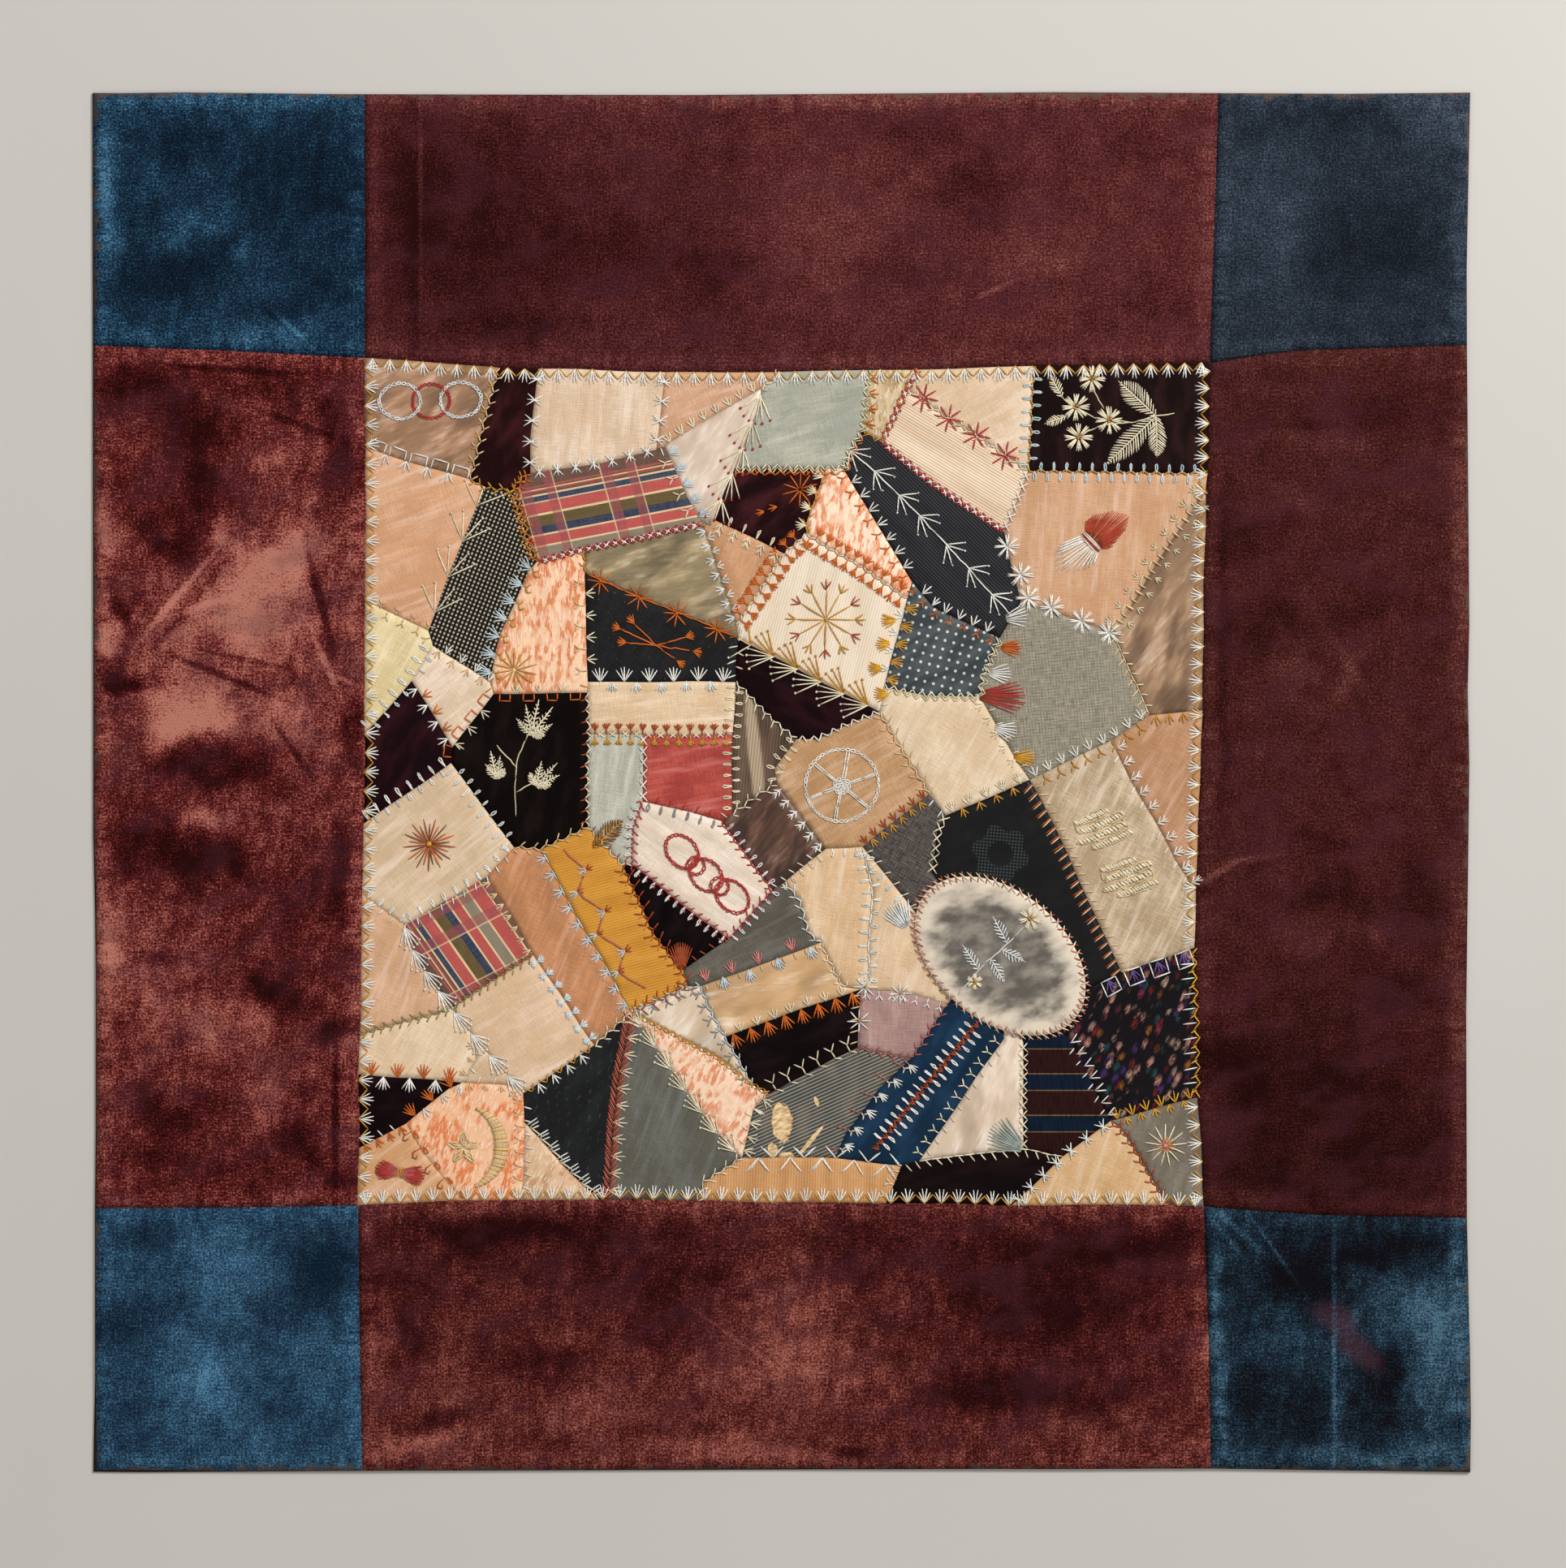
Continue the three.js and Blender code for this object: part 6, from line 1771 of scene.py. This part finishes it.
# %% Wavy lines, scrolls and loops
RIDGE = [(694, 1046), (722, 1070), (712, 1098), (745, 1122),
         (735, 1150), (770, 1172), (762, 1198), (797, 1218)]
curve("rose", RIDGE, 1.1)
for spot in RIDGE[1:-1]:
    work("paleblue", SHAPES["fan3"](12, 12), spot, 60)
    work("rust", SHAPES["fan3"](9, 9), spot, 240)
work_seam([(1082, 1410), (1200, 1266)], 11, "petal white 12 2.8 0 2, petal white -12 2.8 3 -2")
work_seam([(1077, 1416), (1205, 1260)], 9, "zig rust 9 9, bar rust 8 0 0 -4")
for spot, turn in (((1357, 1020), -24), ((1390, 1080), -20)):
    for row, (shift, reach) in enumerate(((-6, 24), (4, 32), (-2, 34), (6, 28))):
        band = [(shift - reach, 0), (shift - reach * 0.4, -4), (shift + reach * 0.7, -5), (shift + reach, 0),
                (shift + reach * 0.6, 5), (shift - reach * 0.5, 4), (shift - reach, 0)]
        drop = 12 * row - 18
        fill = [[(shift + reach * t - 2, drop - 3.4), (shift + reach * t + 2, drop + 3.4)]
                for t in np.linspace(-0.85, 0.85, 14)]
        work("cream", fill, spot, turn, 1.8)
        curve("tan", spot + spin(np.add(band, (0, drop)), turn), PADDED, 3)
    for lean in (-34, 34):
        curve("tan", [(spot[0] + lean * 0.7, spot[1] - 14), (spot[0] + lean, spot[1] - 2),
                      (spot[0] + lean * 0.8, spot[1] + 9), (spot[0] + lean * 0.6, spot[1] + 1)], 1.1, 3)
    leaf("cream", (spot[0] - 6, spot[1] + 17), (spot[0] + 8, spot[1] - 20), 11, 9)
for spot, thread, wide in (((492, 494), "silver", 25), ((568, 493), "silver", 25), ((531, 494), "red", 24)):
    ring(thread, spot, wide, squash=0.86, count=26)
for spot in ((840, 1049), (870, 1078), (902, 1105)):
    ring("red", spot, 23, squash=0.74, turn=45, count=22)
for spot in ((857, 1066), (887, 1092)):
    ring("red", spot, 11, squash=0.9, turn=45, count=11)
for t in np.linspace(0, 2 * math.pi, 64, endpoint=False):
    inner, outer = oval_point(t, 0.93), oval_point(t + 0.05, 1.06)
    stitch("pink" if round(t * 10) % 2 else "rust", [inner, outer])
    stitch("cream", [oval_point(t, 1.05), oval_point(t + 0.08, 0.95)])
SPRIG = [(1180, 1225), (1205, 1195), (1232, 1170), (1262, 1140)]
curve("silver", SPRIG, 0.8)
for spot, tip in (((1205, 1195), (1185, 1165)), ((1232, 1170), (1262, 1185)), ((1220, 1182), (1238, 1212)),
                  ((1240, 1162), (1222, 1130))):
    leaf("silver", spot, tip, 13, 7)
bloom("cream", "gold", (1268, 1132), 15, 7)
bloom("cream", "gold", (1200, 1210), 10, 6)
print(sum(len(lines) for lines in strokes.values()), "strokes in all")

# %% [markdown]
# ## From strokes to thread
# The height of each stroke is felt for with a ray from above, as a finger would. A stroke spans
# the groove that it crosses, so between its ends it never lies lower than the straight line.

# %% Feel for the cloth
felt_points, felt_faces = [], []
for piece in sheets:
    start = len(felt_points)
    felt_points += [v.co.copy() for v in piece.data.vertices]
    felt_faces += [[start + i for i in face.vertices] for face in piece.data.polygons]
cloth_below = BVHTree.FromPolygons(felt_points, felt_faces)
ABOVE_ALL = Vector((0, 0, 0.1))


def height_at(point):
    """The height of the cloth under a point, in metres."""
    hit = cloth_below.ray_cast(Vector((point[0], point[1], 0)) + ABOVE_ALL, Vector((0, 0, -1)))
    return hit[0].z if hit[0] else SEAM_Z * MM


# %% Tubes of thread
SIDES = 5
STATIONS = (0, 0.28, 0.72, 1)
THREAD_LIFT, LINE_ARCH, KNOT_LIFT = 0.12, 0.22, 0.1
END_TAPER, FLATNESS = 0.55, 0.8
KNOT_RINGS = [
    # share of the radius, height in radii
    (0.8, -0.2),
    (1.0, 0.5),
    (0.45, 1.05),
]
around = [2 * math.pi * k / SIDES for k in range(SIDES)]


def thread_tube(line, width):
    """Stations of one stroke as rings of points in metres."""
    flat = metres(line, 0)
    if len(flat) == 1:
        return knot_rings(flat[0], width)
    if len(flat) == 2:
        flat = flat[0] + (flat[1] - flat[0]) * np.array(STATIONS)[:, None]
    share = np.linspace(0, 1, len(flat))
    ground = np.array([height_at(p) for p in flat])
    span = ground[0] + (ground[-1] - ground[0]) * share
    ground = np.maximum(ground, span) if len(line) == 2 else ground
    arch = THREAD_ARCH * np.sin(math.pi * share) if len(line) == 2 else LINE_ARCH
    flat[:, 2] = ground + (THREAD_LIFT + arch) * MM
    way = np.gradient(flat, axis=0)
    way /= np.maximum(np.linalg.norm(way, axis=1), 1e-9)[:, None]
    side = np.column_stack([-way[:, 1], way[:, 0], np.zeros(len(way))])
    side /= np.maximum(np.linalg.norm(side, axis=1), 1e-9)[:, None]
    up = np.cross(way, side)
    radius = np.full(len(flat), width / 2 * MM)
    radius[[0, -1]] *= END_TAPER
    return [[flat[i] + radius[i] * (math.cos(a) * side[i] + FLATNESS * math.sin(a) * up[i]) for a in around]
            for i in range(len(flat))]


def knot_rings(middle, width):
    """A small raised knot as three rings."""
    base = height_at(middle) + KNOT_LIFT * MM
    radius = width / 2 * MM
    return [[(middle[0] + radius * r * math.cos(a), middle[1] + radius * r * math.sin(a), base + h * radius)
             for a in around] for r, h in KNOT_RINGS]


def thread_finish(name, code):
    """Twisted silk, each stroke a little lighter or darker than the next."""
    cloth = Finish("thread_" + name, roughness=0.5, sheen=0.2, sheen_colour=code)
    tone = cloth.attribute("tone")
    twist = cloth.attribute("twist").sine() * 0.5 + 0.5
    # The twist darkens the grooves between the strands: painted shade. The tone of each stroke is its own.
    shade = (tone * 0.75 + twist * 0.25).ramp((0.0, "#b4b4b4"), (1.0, "#ffffff"))
    base = shade.node("ShaderNodeMix", {"data_type": "RGBA", "blend_type": "MULTIPLY"},
                      {0: 1.0, 6: rgb(code), 7: shade}, 2)
    cloth.colour(base)
    return cloth.relief(twist, 0.15).material


# %% Make one mesh for each colour
for thread, lines in strokes.items():
    if not lines:
        continue
    points, faces, tones, twists = [], [], [], []
    for line, width in lines:
        start, rings = len(points), thread_tube(line, width)
        tone = rng.uniform(0.35, 1.0)
        for k, station in enumerate(rings):
            points += station
            tones += [tone] * SIDES
            twists += [k * 1.5 + j / SIDES for j in range(SIDES)]
        for k in range(len(rings) - 1):
            a = start + k * SIDES
            faces += [(a + j, a + (j + 1) % SIDES, a + SIDES + (j + 1) % SIDES, a + SIDES + j)
                      for j in range(SIDES)]
        faces.append(tuple(range(start + SIDES - 1, start - 1, -1)))
        faces.append(tuple(range(len(points) - SIDES, len(points))))
    fields = {"tone": tones, "twist": twists}
    piece = add_mesh("stitches_" + thread, points, faces, fields, thread_finish(thread, THREADS[thread]))
    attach(piece, "root")
    print("stitches", thread, len(lines), "strokes,", len(faces), "faces")
